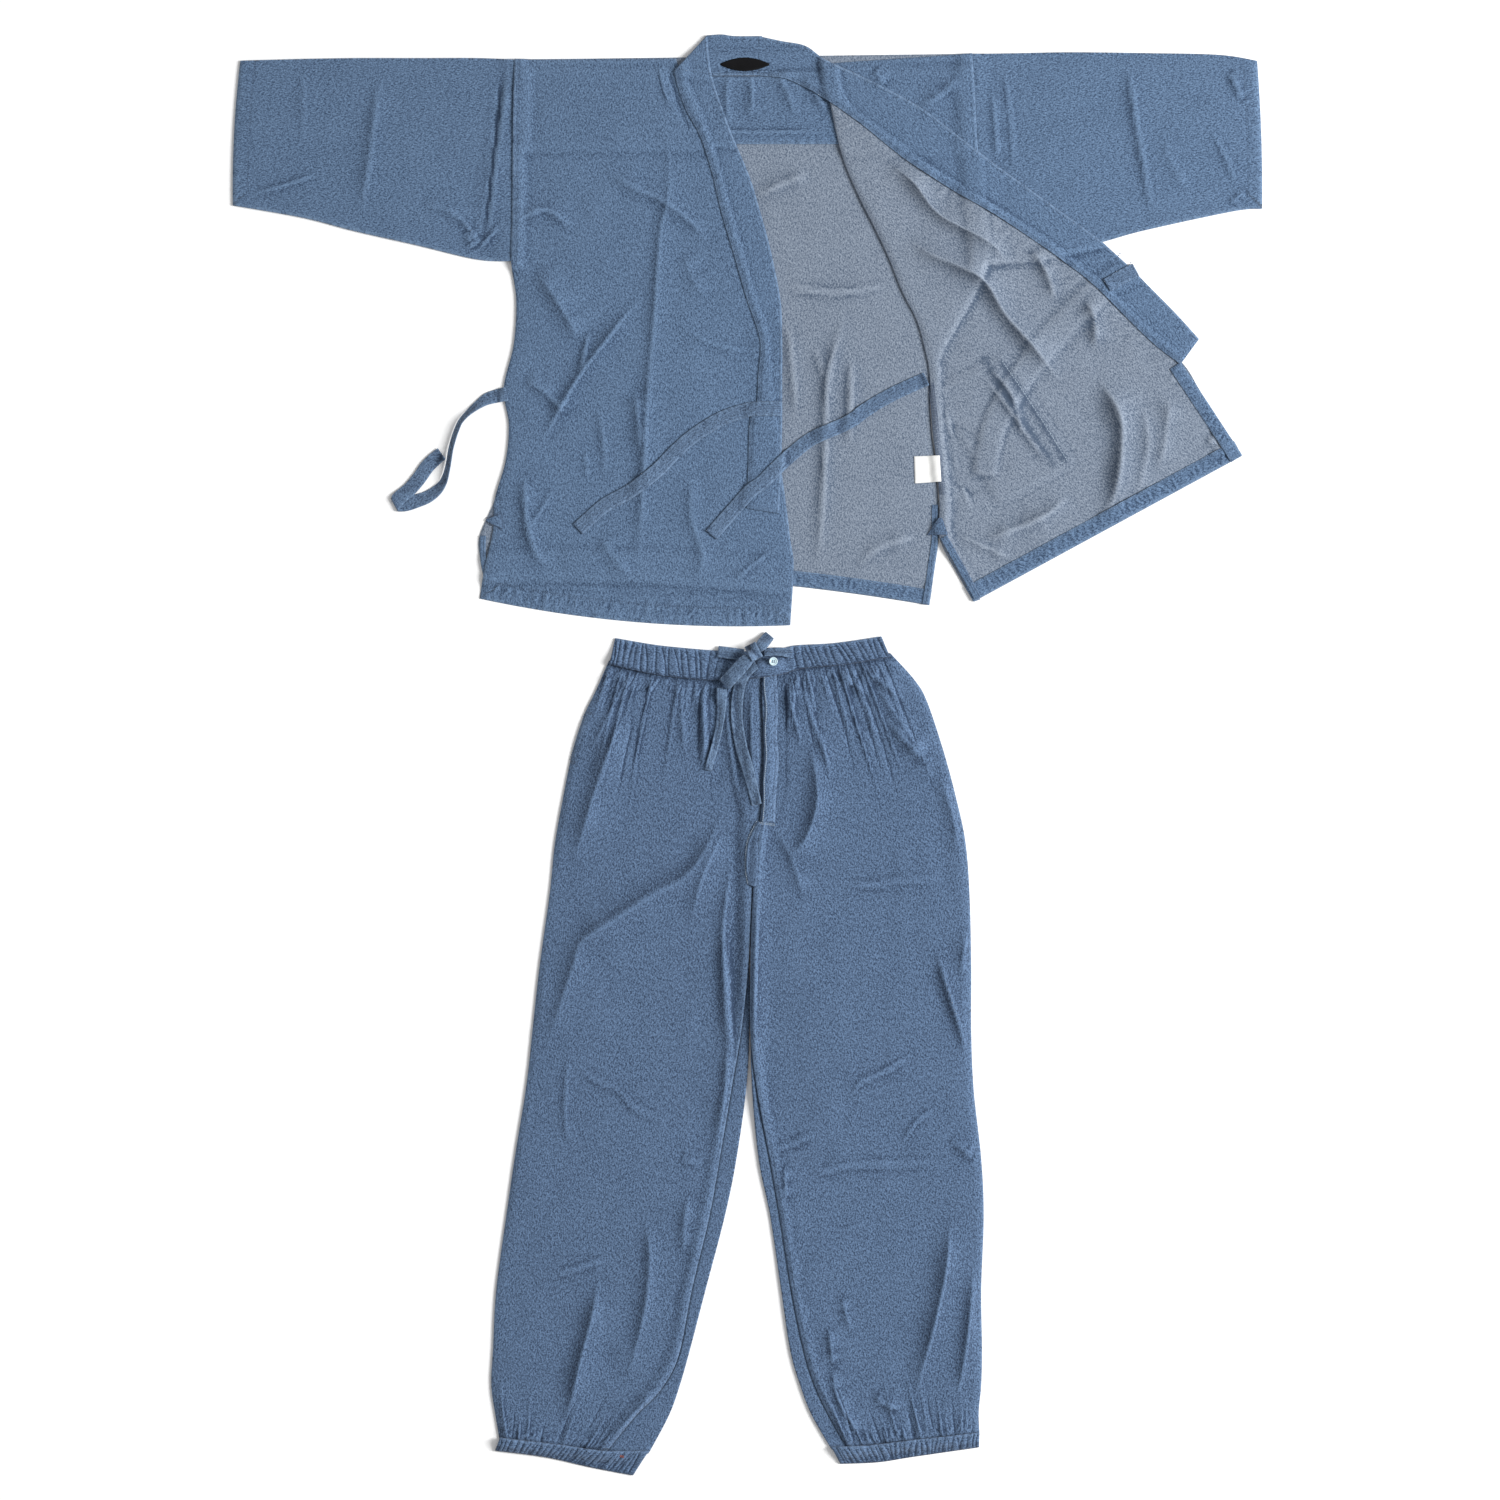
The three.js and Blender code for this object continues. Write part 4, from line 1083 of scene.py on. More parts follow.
@dataclass(frozen=True)
class Chambray:
    """Cotton with slubbed blue warp and pale weft, washed once."""

    name: str
    deep: Colour
    light: Colour
    worn: Colour  # at rubbed edges and seams
    contrast: float = 1.6
    slub: float = 0.00008  # height of the slubs, in metres

    WEAVE = 7000.0  # radians in a metre: a thread each 0.9 mm
    PUCKER_HEIGHT, ROW_DEPTH, CRUMPLE, THREAD = 0.0006, 0.00022, 0.00012, 0.00004  # heights in metres
    PUCKER_REACH, RUBBED_REACH, ROW_REACH = 0.007, 0.0034, 0.0022

    def material(self) -> Look:
        """Builds the material."""
        s = Shader(self.name, 0.92, 0.12)
        grain = s.grain()
        warp = s.noise(grain, (620, 220, 1), 1.5, 0.6)
        weft = s.noise(grain, (220, 580, 1), 1.5, 0.6)
        fleck = s.noise(grain, (590, 500, 1), 1.5, 0.7)
        cloud = s.noise(grain, (26, 20, 1), 3.0, 0.55)
        mottle = warp * 0.3 + weft * 0.06 + fleck * 0.5
        along, distance, band = s.seam()
        # bend: curvature of the cloth, used below for painted shade and painted highlight
        bend = s.node("ShaderNodeAttribute", {"attribute_name": "bend"}, {}, "Fac")
        pair = s.node("ShaderNodeCombineXYZ", {}, {0: along, 1: distance})
        rope = s.noise(pair, (150, 38, 1), 1.5, 0.5)
        close = s.clamp((band + self.PUCKER_REACH - distance) / 0.006) * s.clamp(band * 1000)
        # sunk: where painted shade darkens the cloth along sewn lines that lie sunk
        sunk = s.near(distance, self.PUCKER_REACH) * s.clamp(band * -1000)
        edge = s.near(distance, self.RUBBED_REACH) * s.clamp(band * 1000 + 1)
        row = s.near(distance - band, self.ROW_REACH) * s.clamp(band * 1000)
        # near seams the roped puckers are paler on their crests, where the cloth wears, and darker in their valleys
        # as painted shade
        tone = 0.5 + mottle * self.contrast + cloud * 0.05 + rope * close * 0.14 - row * 0.09
        # painted shade in the hollows of folds and along sunk lines, painted highlight on the ridges of folds
        tone = tone - s.clamp(bend) * 0.85 + s.clamp(bend * -1.0) * 0.3 - sunk * (0.45 + rope * 0.3)
        colour = s.mix(s.clamp(tone), linear(self.deep), linear(self.light))
        rubbed = s.clamp(edge * (0.3 + rope * 0.4) + cloud * 0.02)
        colour = s.mix(rubbed, colour, linear(self.worn))
        threads = self.threads(s, grain)
        crumple = s.noise(grain, (62, 48, 1), 2.0, 0.55) * self.CRUMPLE
        height = crumple + mottle * self.slub + threads * self.THREAD
        return s.done(colour, height + rope * close * self.PUCKER_HEIGHT - row * self.ROW_DEPTH)

    def threads(self, s: Shader, grain: Socket) -> Socket:
        """The weave: -1 to 1, over and under."""
        split = s.node("ShaderNodeSeparateXYZ", {}, {0: grain})
        across, along = (Socket(s, split.output.node.outputs[axis]) for axis in (0, 1))
        return s.math("SINE", across * self.WEAVE, 0.0) * s.math("SINE", along * self.WEAVE, 0.0)


@dataclass(frozen=True)
class Satin:
    """Woven label cloth: darker in the low threads and lighter on the floats, as painted shade and painted sheen."""

    name: str
    deep: Colour
    light: Colour
    roughness: float

    def material(self) -> Look:
        """Builds the material."""
        s = Shader(self.name, self.roughness, 0.0, 0.12)
        grain = s.grain()
        floats = s.noise(grain, (1900, 420, 1), 1.0, 0.5)
        soil = s.noise(grain, (90, 90, 1), 2.0, 0.5)
        # painted sheen on the floats and painted shade in the low threads, by the noise of their relief
        colour = s.mix(s.clamp(0.5 + floats * 0.25 + soil * 0.18), linear(self.deep), linear(self.light))
        return s.done(colour, floats * 0.00005 + soil * 0.00012)


@dataclass(frozen=True)
class Thread:
    """Sewing thread: darker between the plies and lighter on them, as painted shade and painted highlight."""

    name: str
    deep: Colour
    light: Colour

    def material(self) -> Look:
        """Builds the material."""
        s = Shader(self.name, 0.7, 0.05)
        place = s.place()
        ply = s.noise(place, (2600, 2600, 2600), 1.0, 0.5)
        shade = s.noise(place, (130, 130, 130), 2.0, 0.5)
        # painted shade between the plies and painted highlight on them, by the noise of their relief
        colour = s.mix(s.clamp(0.5 + ply * 0.28 + shade * 0.2), linear(self.deep), linear(self.light))
        return s.done(colour, ply * 0.00003)


@dataclass(frozen=True)
class ButtonPlastic:
    """Pale polished resin with a faint pearl."""

    name: str = "button_resin"
    deep: Colour = (160, 190, 205)
    light: Colour = (214, 232, 236)

    def material(self) -> Look:
        """Builds the material."""
        s = Shader(self.name, 0.28)
        place = s.place()
        pearl = s.noise(place, (420, 260, 420), 3.0, 0.55)
        scratch = s.noise(place, (5200, 700, 900), 2.0, 0.6)
        colour = s.mix(s.clamp(0.55 + pearl * 0.35), linear(self.deep), linear(self.light))
        return s.done(colour, scratch * 0.000006, 0.28 + s.clamp(scratch) * 0.14)


@dataclass(frozen=True)
class FloorPaint:
    """Plain pale floor with a fine, even tooth."""

    name: str = "floor_paint"
    colour: Colour = (247, 247, 247)

    def material(self) -> Look:
        """Builds the material."""
        s = Shader(self.name, 0.95)
        tooth = s.noise(s.place(), (160, 160, 160), 3.0, 0.5)
        colour = s.mix(s.clamp(0.5 + tooth * 0.2), linear(self.colour), linear((249, 249, 249)))
        return s.done(colour, tooth * 0.00001)


def finish(kind: type, *values: object) -> object:
    """A material that is made with the set's finishes."""
    return field(default_factory=lambda: kind(*values).material())


@dataclass
class Finishes:
    """All materials, each made once."""

    face: Look = finish(Chambray, "chambray_face", (34, 56, 83), (100, 126, 157), (112, 136, 164))
    darker: Look = finish(Chambray, "chambray_trousers", (30, 50, 76), (93, 118, 150), (105, 129, 159), 1.9)
    reverse: Look = finish(Chambray, "chambray_reverse", (60, 76, 97), (138, 149, 164), (130, 143, 159), 1.4)
    tape: Look = finish(Chambray, "chambray_tape", (34, 54, 80), (102, 127, 157), (112, 136, 164), 1.5, 0.00013)
    black_label: Look = finish(Satin, "black_satin", (3, 3, 4), (16, 16, 19), 0.7)
    white_label: Look = finish(Satin, "white_satin", (216, 216, 214), (240, 240, 238), 0.55)
    thread: Look = finish(Thread, "blue_thread", (56, 78, 106), (104, 128, 158))
    dark_thread: Look = finish(Thread, "navy_thread", (46, 62, 88), (84, 102, 130))
    white_thread: Look = finish(Thread, "white_thread", (128, 146, 166), (184, 198, 210))
    red_thread: Look = finish(Thread, "russet_thread", (120, 66, 62), (166, 98, 88))
    button: Look = finish(ButtonPlastic)


def resampled(rows: Array, pitch: float, key: Array | None = None, count: int = 0) -> Array:
    """Puts rows at even distances on a smooth curve.

    Args:
        rows: A table.
        pitch: Distance between new rows.
        key: Points that it is measured on, or None for the first two columns.
        count: Number of new rows, in place of the pitch.

    Returns:
        The new table.
    """
    fine = smoothed(rows, 12)
    measured = fine[:, :2] if key is None else smoothed(key, 12)
    along = np.concatenate([[0], np.cumsum(steps_of(measured))])
    at = np.linspace(0, along[-1], count or max(3, math.ceil(along[-1] / pitch) + 1))
    return np.stack([np.interp(at, along, fine[:, k]) for k in range(fine.shape[1])], 1)


def bowed(table: Table) -> Array:
    """The sections of a table, each with its bow."""
    return np.array([(*row, 0.0)[:5] for row in table], float)


def section(row: tuple[float, ...]) -> Path:
    """Points along one section of a table, bow included."""
    return tuple(map(tuple, across_sections(bowed([row]), 8)[0]))


def across_sections(rows: Array, across: int) -> Array:
    """Points across each section.

    Args:
        rows: Sections from p to q, each with its bow.
        across: Cells along each.

    Returns:
        Points by section and place.
    """
    t = np.linspace(0, 1, across + 1)[None, :, None]
    p, q, bow = rows[:, None, 0:2], rows[:, None, 2:4], rows[:, None, 4:5]
    run = q - p
    aside = unit(np.stack([-run[..., 1], run[..., 0]], -1))
    return p + run * t + aside * bow * 4 * t * (1 - t)


def ruled(table: Table, pitch: float, by: float = 0.5, across: float | None = None) -> Array:
    """A grid of points on the sections of a panel.

    Args:
        table: Sections from p to q.
        pitch: Size of a cell.
        by: Where along the sections the lines are evenly apart: 0 at p, 1 at q.
        across: Size of a cell along the sections, where it differs.

    Returns:
        Points by section and place.
    """
    rows = bowed(table)
    key = rows[:, 0:2] * (1 - by) + rows[:, 2:4] * by
    widest_row = float(np.linalg.norm(rows[:, 2:4] - rows[:, 0:2], axis=1).max())
    return across_sections(resampled(rows, pitch, key), max(2, math.ceil(widest_row / (across or pitch))))


def turned(grid: Array) -> Array:
    """The grid with its lines and places exchanged."""
    return np.swapaxes(grid, 0, 1).copy()


def edge(table: Table, which: str, first: int = 0, last: int | None = None) -> Path:
    """The p or q ends of some sections of a table."""
    k = 0 if which == "p" else 2
    return tuple((row[k], row[k + 1]) for row in table[first:last])


def beside(path: Array, distance: float) -> Array:
    """A line moved to its left, or to its right by a distance below 0."""
    run = np.gradient(path, axis=0)
    return path + unit(np.stack([-run[:, 1], run[:, 0]], -1)) * distance


def ribbon(
    route: Table, pitch: float = 2.4, across: int = 6, back: bool = False,
    first: Point | None = None, last: Point | None = None,
) -> Array:
    """A grid along a tape, from its left edge to its right one.

    Args:
        route: Centre, width and lean.
        pitch: Length of a cell.
        across: Cells across.
        back: The tape runs back on another one and keeps that one's edges.
        first: From the centre to the edge at the first line, where it isn't square.
        last: The same at the last line.

    Returns:
        Points and, as a third number, how far each stands up.
    """
    rows = resampled(np.array([(*row, *(TIE_WIDTH, 0.0)[len(row) - 2 :])[:4] for row in route], float), pitch)
    run = np.gradient(rows[:, :2], axis=0)
    aside = unit(np.stack([-run[:, 1], run[:, 0]], -1)) * rows[:, 2:3] / 2 * (-1 if back else 1)
    reach = 6
    for given, lines in ((first, range(reach)), (last, range(len(rows) - 1, len(rows) - 1 - reach, -1))):
        if given is not None:
            for k, line in enumerate(lines):
                share = 1 - k / reach
                aside[line] = aside[line] * (1 - share) + np.array(given) * share
    t = np.linspace(1, -1, across + 1)[None, :, None]
    plan = rows[:, None, :2] + aside[:, None] * t
    stand = rows[:, None, 3:4] * (0.5 + 0.5 * t)
    return np.concatenate([plan, stand], -1)


class Tapes(Enum):
    """How a free tape ends."""

    SHORT = 0.009
    STRING = 0.013
    TIE = 0.016


@dataclass
class Workshop:
    """The bed that pieces are laid on and the finishes they are dressed in."""

    finishes: Finishes = field(default_factory=Finishes)
    bed: Bed = field(default_factory=Bed)

    def keep(self, piece: Piece, slot: str, looks: tuple[Look, ...], nodes: tuple[str, ...] = ()) -> Piece:
        """Dresses a piece and places it in the frame.

        Args:
            piece: The piece.
            slot: Its material slot; not used.
            looks: Its materials.
            nodes: CAD nodes that it stands for.

        Returns:
            The piece.
        """
        for look in looks:
            piece.data.materials.append(look)
        if nodes:
            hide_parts(*nodes)
        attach(piece, ROOT)
        LOG.info("%s: %d faces", piece.name, len(piece.data.polygons))
        return piece

    def cloth(self, node: str, shell: Shell, face: Look | None = None) -> Piece:
        """Makes a cloth piece that stands for a CAD node of the same name."""
        looks = (face or self.finishes.face, self.finishes.reverse)
        return self.keep(shell.mesh(f"{node}_cloth"), "chambray", looks, (node,))

    def tape(self, node: str, shell: Shell) -> Piece:
        """Makes a tape that stands for a CAD node of the same name."""
        looks = (self.finishes.tape, self.finishes.tape)
        return self.keep(shell.mesh(f"{node}_tape"), "tape", looks, (node,))

    def strip(self, name: str, path: Path, width: float, relief: Relief | None = None) -> Piece:
        """Lays a turned hem, right side up, along an edge.

        Args:
            name: Name of the new piece.
            path: The edge.
            width: Width of the hem, to the left of the edge, or to its right when below 0.
            relief: Its creases.

        Returns:
            The piece.
        """
        line = resampled(path, 2.6)
        cells = max(3, math.ceil(abs(width) / 2.6))
        side_sign = math.copysign(1, width)
        offsets = side_sign * np.linspace(0.5, abs(width), cells + 1)
        plan = np.stack([beside(line, float(d)) for d in offsets], 1)
        seams = [SeamLine(tuple(map(tuple, beside(line, width))), 2.2), SeamLine(tuple(map(tuple, line)), 0.0)]
        leaf = lay(self.bed, plan, relief, HEM_STRIP, Lay.CLOSE, (0, 0, 3, 4), None, seams)
        looks = (self.finishes.face, self.finishes.reverse)
        return self.keep(Shell([leaf], outer=Skin.REVERSE).mesh(name), "chambray", looks)

    def free_tape(self, piece: Piece, leaves: list[Leaf], kind: Tapes, parts: tuple[Piece, ...] = ()) -> None:
        """Measures the mean height along each leaf of a tape, and keeps nothing of it.

        Args:
            piece: The tape; not used.
            leaves: Its leaves in order.
            kind: Its width; not used.
            parts: Separate pieces on it; not used.
        """
        for leaf in leaves:
            height = ((leaf.low + leaf.high) / 2).mean(axis=1)


@dataclass
class Seamstress:
    """Gathers stitches row by row while the pieces are laid, and makes one mesh of them at the end."""

    shop: Workshop
    name: str
    look: Look
    slot: str = "chambray"
    rows: list[Array] = field(default_factory=list)

    THICK = 0.42  # half the width of a stitch

    def row(
        self, path: Path, aside: float = 0.0, pitch: float = 2.9, stitch: float = 2.1, slant: float = 0.0
    ) -> None:
        """Sews a row of stitches.

        Args:
            path: Line that it follows.
            aside: Its distance to the left of the line.
            pitch: Distance between stitches.
            stitch: Their length.
            slant: Degrees that each is turned by.
        """
        curve = np.array(path, float)
        if len(curve) == 2:
            curve = np.linspace(curve[0], curve[1], 6)
        line = resampled(beside(resampled(curve, 4.0), aside), pitch)
        middle, run = (line[:-1] + line[1:]) / 2, unit(np.diff(line, axis=0))
        c, s = math.cos(math.radians(slant)), math.sin(math.radians(slant))
        run = np.column_stack([run[:, 0] * c - run[:, 1] * s, run[:, 0] * s + run[:, 1] * c])
        self.rows.append(self.stitches(middle, run, stitch / 2))

    def sew(self, *rows: tuple[Path, float]) -> None:
        """Sews rows of even stitches, each by its line and its distance to the left of it."""
        for path, aside in rows:
            self.row(path, aside)

    def stitches(self, middle: Array, run: Array, half: float) -> Array:
        """Corner points of a row's stitches.

        Args:
            middle: Their middles.
            run: Their directions.
            half: Half their length.

        Returns:
            Stitches by 10 points by 3.
        """
        across = np.stack([-run[:, 1], run[:, 0]], -1) * self.THICK
        ends = [middle - run * half, middle - run * half * 0.55, middle + run * half * 0.55, middle + run * half]
        tops = [self.shop.bed.top(end) for end in ends]
        crest, belly, sunk = self.THICK * 0.75, self.THICK * 0.5, 0.05
        places = [(ends[0], tops[0] - sunk)]
        for end, top in zip(ends[1:3], tops[1:3]):
            places += [(end + across, top), (end, top + crest), (end - across, top), (end, top - belly)]
        places.append((ends[3], tops[3] - sunk))
        return np.stack([np.column_stack(place) for place in places], 1)

    def make(self) -> None:
        """Makes the piece of all rows."""
        points = np.concatenate(self.rows)
        ring = [(1 + k, 1 + (k + 1) % 4) for k in range(4)]
        pattern = [(0, b, a) for a, b in ring] + [(a, b, b + 4, a + 4) for a, b in ring]
        pattern += [(9, a + 4, b + 4) for a, b in ring]
        faces = [tuple(v + 10 * n for v in face) for n in range(len(points)) for face in pattern]
        mesh = bpy.data.meshes.new(self.name)
        mesh.from_pydata((points.reshape(-1, 3) * MM).tolist(), [], faces)
        mesh.polygons.foreach_set("use_smooth", [True] * len(faces))
        self.shop.keep(linked(self.name, mesh), self.slot, (self.look,))


def puckers(path: Path, spacing: float, height: float, reach: float, aside: float, seed: int) -> list[Crease]:
    """Short uneven creases across a sewn line.

    Args:
        path: The line.
        spacing: Mean distance between them.
        height: Their height.
        reach: Their length.
        aside: Distance of their middles to the left of the line.
        seed: Their seed.

    Returns:
        The creases.
    """
    random = np.random.default_rng(seed)
    curve = np.array(path, float)
    curve = resampled(curve if len(curve) > 2 else np.linspace(curve[0], curve[1], 6), 2.0)
    found, at = [], spacing * random.uniform(0.2, 0.9)
    run = unit(np.gradient(curve, axis=0))
    while at < 2.0 * (len(curve) - 1):
        k = int(at / 2.0)
        left = np.array([-run[k, 1], run[k, 0]])
        lean = random.uniform(-0.5, 0.9)
        half = (left + run[k] * lean) * reach / 2 * random.uniform(0.6, 1.2)
        centre = curve[k] + left * aside
        tall = height * random.uniform(0.3, 1.2)
        width = spacing * random.uniform(0.2, 0.34)
        found.append(Crease((tuple(centre - half), tuple(centre), tuple(centre + half)), tall, width, width * 0.8))
        at += spacing * random.uniform(0.55, 1.6)
    return found


@dataclass
class Jacket:
    """The wrap jacket, laid open from the table up."""

    shop: Workshop
    pitch: float = 3.4
    hidden: float = 5.0
    flap_grain: float = 33.0

    def __post_init__(self) -> None:
        """Threads the needles."""
        looks = self.shop.finishes
        self.blue = Seamstress(self.shop, "jacket_stitching", looks.thread)
        self.dark = Seamstress(self.shop, "jacket_overlock", looks.dark_thread)
        self.white = Seamstress(self.shop, "jacket_pale_stitching", looks.white_thread)

    def build(self) -> None:
        """Lays every piece in order."""
        self.back()
        self.sleeves()
        self.yoke()
        self.front_right()
        self.front_left()
        self.collars()
        self.ties()
        self.small_pieces()
        self.side_tie()
        self.stitching()

    def back(self) -> None:
        """The back panel, inside up, with its turned hem."""
        hem = section(BACK[-1])
        seams = [SeamLine(hem, 0.0), SeamLine(edge(BACK, "p", 4), 6.0), SeamLine(edge(BACK, "q", 4), 6.0)]
        relief = Relief(creases(CREASES_BACK), 0.45, 0.7, 11)
        leaf = lay(self.shop.bed, ruled(BACK, 4.2), relief, CLOTH, Lay.CLOSE, (8, 8, 8, 8), 0.0, seams)
        piece = self.shop.cloth("jacket_back", Shell([leaf]))
        hem_relief = Relief(puckers(hem, 8, 0.9, 20, 9, 21), 0.12, 0.1, 22)
        hems = [
            self.shop.strip("jacket_back_hem", hem, 18.0, hem_relief),
            self.shop.strip("jacket_back_vent_hem_right", edge(BACK, "p", 11)[:3], 7.0),
            self.shop.strip("jacket_back_vent_hem_left", edge(BACK, "q", 10)[:4], -8.0),
        ]
        self.blue.sew((hem, 16.0), (edge(BACK, "q", 10), -6.0))

    def sleeves(self) -> None:
        """Both sleeves, flat tubes."""
        plans = {
            "right": (SLEEVE_RIGHT, CREASES_SLEEVE_RIGHT, 31, 17.0, 0),
            "left": (SLEEVE_LEFT, CREASES_SLEEVE_LEFT, 35, -17.0, -1),
        }
        for side, (table, ridges, seed, hem, cuff) in plans.items():
            grid = turned(ruled(table, 3.6))
            lines = [SeamLine(section(table[cuff]), 17.0), SeamLine(section(table[-1 - cuff]), 4.0)]
            lines.append(SeamLine(edge(table, "q"), 0.0))
            under = lay(self.shop.bed, grid, Relief([], 0.2, 0.2, seed), seams=lines, grain=90)
            across = puckers(section(table[cuff]), 13, 0.45, 20, math.copysign(9.0, hem), seed + 5)
            relief = Relief(creases(ridges) + across, 0.75, 1.1, seed + 2, 90)
            over = lay(self.shop.bed, grid[::-1].copy(), relief, CLOTH, Lay.CLOSE, (0, 0, 5, 5), 90, lines)
            piece = self.shop.cloth(f"sleeve_{side}", Shell([under, over], joined=True))
            self.blue.row(section(table[cuff]), hem)

    def yoke(self) -> None:
        """The yoke inside the back's shoulders, right side up."""
        low = section(YOKE[-1])
        lines = [SeamLine(low, 3.0), SeamLine(low, 14.0)]
        relief = Relief(creases(CREASES_YOKE), 0.6, 0.5, 41)
        leaf = lay(self.shop.bed, ruled(YOKE, 3.0), relief, CLOTH, Lay.CLOSE, (4, 4, 4, 4), 90, lines)
        piece = self.shop.cloth("jacket_yoke", Shell([leaf], outer=Skin.REVERSE))
        self.blue.sew((low, 2.5), (low, 15.0))

    def front_right(self) -> None:
        """The wearer's right front, right side up."""
        hem = section(FRONT_RIGHT[-1])
        stretches = (("p", 0, 5, 5.0), ("p", 10, None, 6.0), ("q", 0, 9, 3.0), ("q", 9, None, 3.0))
        lines = [SeamLine(hem, 22.0)]
        lines += [SeamLine(edge(FRONT_RIGHT, which, first, last), band) for which, first, last, band in stretches]
        relief = Relief(
            creases(CREASES_FRONT_RIGHT) + puckers(hem, 10, 1.1, 24, 12, 51)
            + puckers(edge(FRONT_RIGHT, "q", 0, 9), 17, 0.6, 24, -10, 52),
            0.95, 0.7, 53,
        )
        leaf = lay(self.shop.bed, ruled(FRONT_RIGHT, self.pitch), relief, CLOTH, Lay.SOFT, (6, 9, 12, 6), 0.0, lines)
        piece = self.shop.cloth("jacket_front_right", Shell([leaf], outer=Skin.REVERSE))
        self.blue.sew(
            (hem, 20.5), (hem, 22.6), (edge(FRONT_RIGHT, "p", 0, 5), 4.5), (edge(FRONT_RIGHT, "p", 10), 6.0),
            (edge(FRONT_RIGHT, "q", 9), -3.0),
        )

    def front_left(self) -> None:
        """The left front, turned open on its fold, with the pocket and a tie between its leaves."""
        under_lines = [SeamLine(edge(FRONT_LEFT_UNDER, "p", 0, 6), 5.0)]
        under = lay(
            self.shop.bed, turned(ruled(FRONT_LEFT_UNDER, self.pitch, 1.0)),
            Relief(creases(CREASES_SHOULDER_LEFT), 0.6, 0.6, 61), CLOTH, Lay.SOFT, (12, 9, 5, 6), 0.0, under_lines,
        )
        pocket = lay(self.shop.bed, ruled(POCKET, self.hidden), None, CLOTH, Lay.CLOSE, grain=self.flap_grain)
        piece = self.shop.cloth("pocket_patch", Shell([pocket], outer=Skin.FACE))
        self.tail = self.lay_tape(ribbon(TIE_COLLAR_LEFT_TAIL, last=(-3.8, 7.0)))
        hem, front = section(FRONT_LEFT_FLAP[-1]), ((520, 471.6), (557, 416), (593.4, 360))
        pocket_line = ((304, 471), (344, 412), (382, 351))
        welt_line = ((284, 474), (323, 411), (367, 348))
        lines = [
            SeamLine(hem, 0.0), SeamLine(front, 0.0), SeamLine(pocket_line, -2.0), SeamLine(welt_line, -2.0),
            SeamLine(edge(FRONT_LEFT_FLAP, "q", 0, 12), 3.0),
        ]
        ridge = Crease(((232, 426), (238, 414), (250, 362), (256, 334), (270, 288)), 3.4, 4, 6)
        roll = Crease(((278, 459), (310, 420), (352, 362), (376, 348)), 2.6, 8, 6)
        relief = Relief(
            creases(CREASES_FLAP) + [ridge, roll] + puckers(edge(FRONT_LEFT_FLAP, "q", 0, 12), 15, 0.8, 30, -13, 62),
            1.1, 1.2, 63, self.flap_grain,
        )
        flap = lay(
            self.shop.bed, turned(ruled(FRONT_LEFT_FLAP, self.pitch, 0.0)), relief, CLOTH, Lay.CLOSE,
            (8, 6, 6, 9), self.flap_grain, lines,
        )
        piece = self.shop.cloth("jacket_front_left", Shell([under, flap], outer=Skin.REVERSE))
        vent = ((271.8, 186), (252, 222), (231, 259))
        hem_relief = Relief(puckers(hem, 8, 1.2, 22, 10, 64), 0.2, 0.2, 65)
        front_relief = Relief(puckers(front, 8, 0.9, 16, -8, 66), 0.15, 0.1, 67)
        hems = [
            self.shop.strip("jacket_flap_hem", hem, 20.0, hem_relief),
            self.shop.strip("jacket_flap_vent_hem", vent, -9.0),
            self.shop.strip("jacket_flap_front_hem", front, -16.0, front_relief),
        ]
        self.blue.sew((hem, 18.4), (front, -14.6))
        self.dark.row(vent, -8.0, 1.8, 3.0, 70.0)
        self.dark.row(((304, 471), (344, 412), (382, 352)), 0.0, 2.6, 2.2)
        self.white.row(((305, 473), (345, 414), (383.5, 353)), 0.0, 3.4, 2.6)
        self.white.row(((372, 342), (345, 328), (321, 314)), 0.0, 6.0, 1.6)
        self.white.row(((369.5, 347.5), (380.3, 352)), 0.0, 1.4, 1.2)
        serge = ((220, 446), (223, 420), (226, 392), (230, 352), (234, 312))
        self.dark.row(serge, 0.0, 1.9, 6.0, 72.0)
        for aside in (3.0, -3.0):
            self.dark.row(serge, aside, 2.4, 2.4)

    def band(self, table: Table, seed: int, edges: float = 15.0, flat: tuple[int, int] = (0, 0)) -> Leaf:
        """Lays a stretch of collar: doubled cloth, a little crowned and roped along its seams.

        Args:
            table: Its sections.
            seed: Seed of its unevenness.
            edges: Mean distance between the puckers at its seams.
            flat: Reach of its flat ends.

        Returns:
            The leaf.
        """
        grid = ruled(table, 2.6)
        p, q = edge(table, "p"), edge(table, "q")
        ridges = puckers(p, edges, 0.55, 14, 6, seed) + puckers(q, edges, 0.5, 12, -5, seed + 1)
        t = np.linspace(-1, 1, grid.shape[1])[None, :]
        relief = Relief(ridges, 0.3, 0.15, seed + 2)
        lines = [SeamLine(p, 3.0), SeamLine(q, 3.0)]
        wall = CLOTH + (BAND - CLOTH) * ease((t + 1) / 0.5) * np.ones((len(grid), 1))
        crown = 0.4 * (1 - t**2)
        return lay(self.shop.bed, grid, relief, wall, Lay.CLOSE, (*flat, 6.0, 2.5), None, lines, crown)

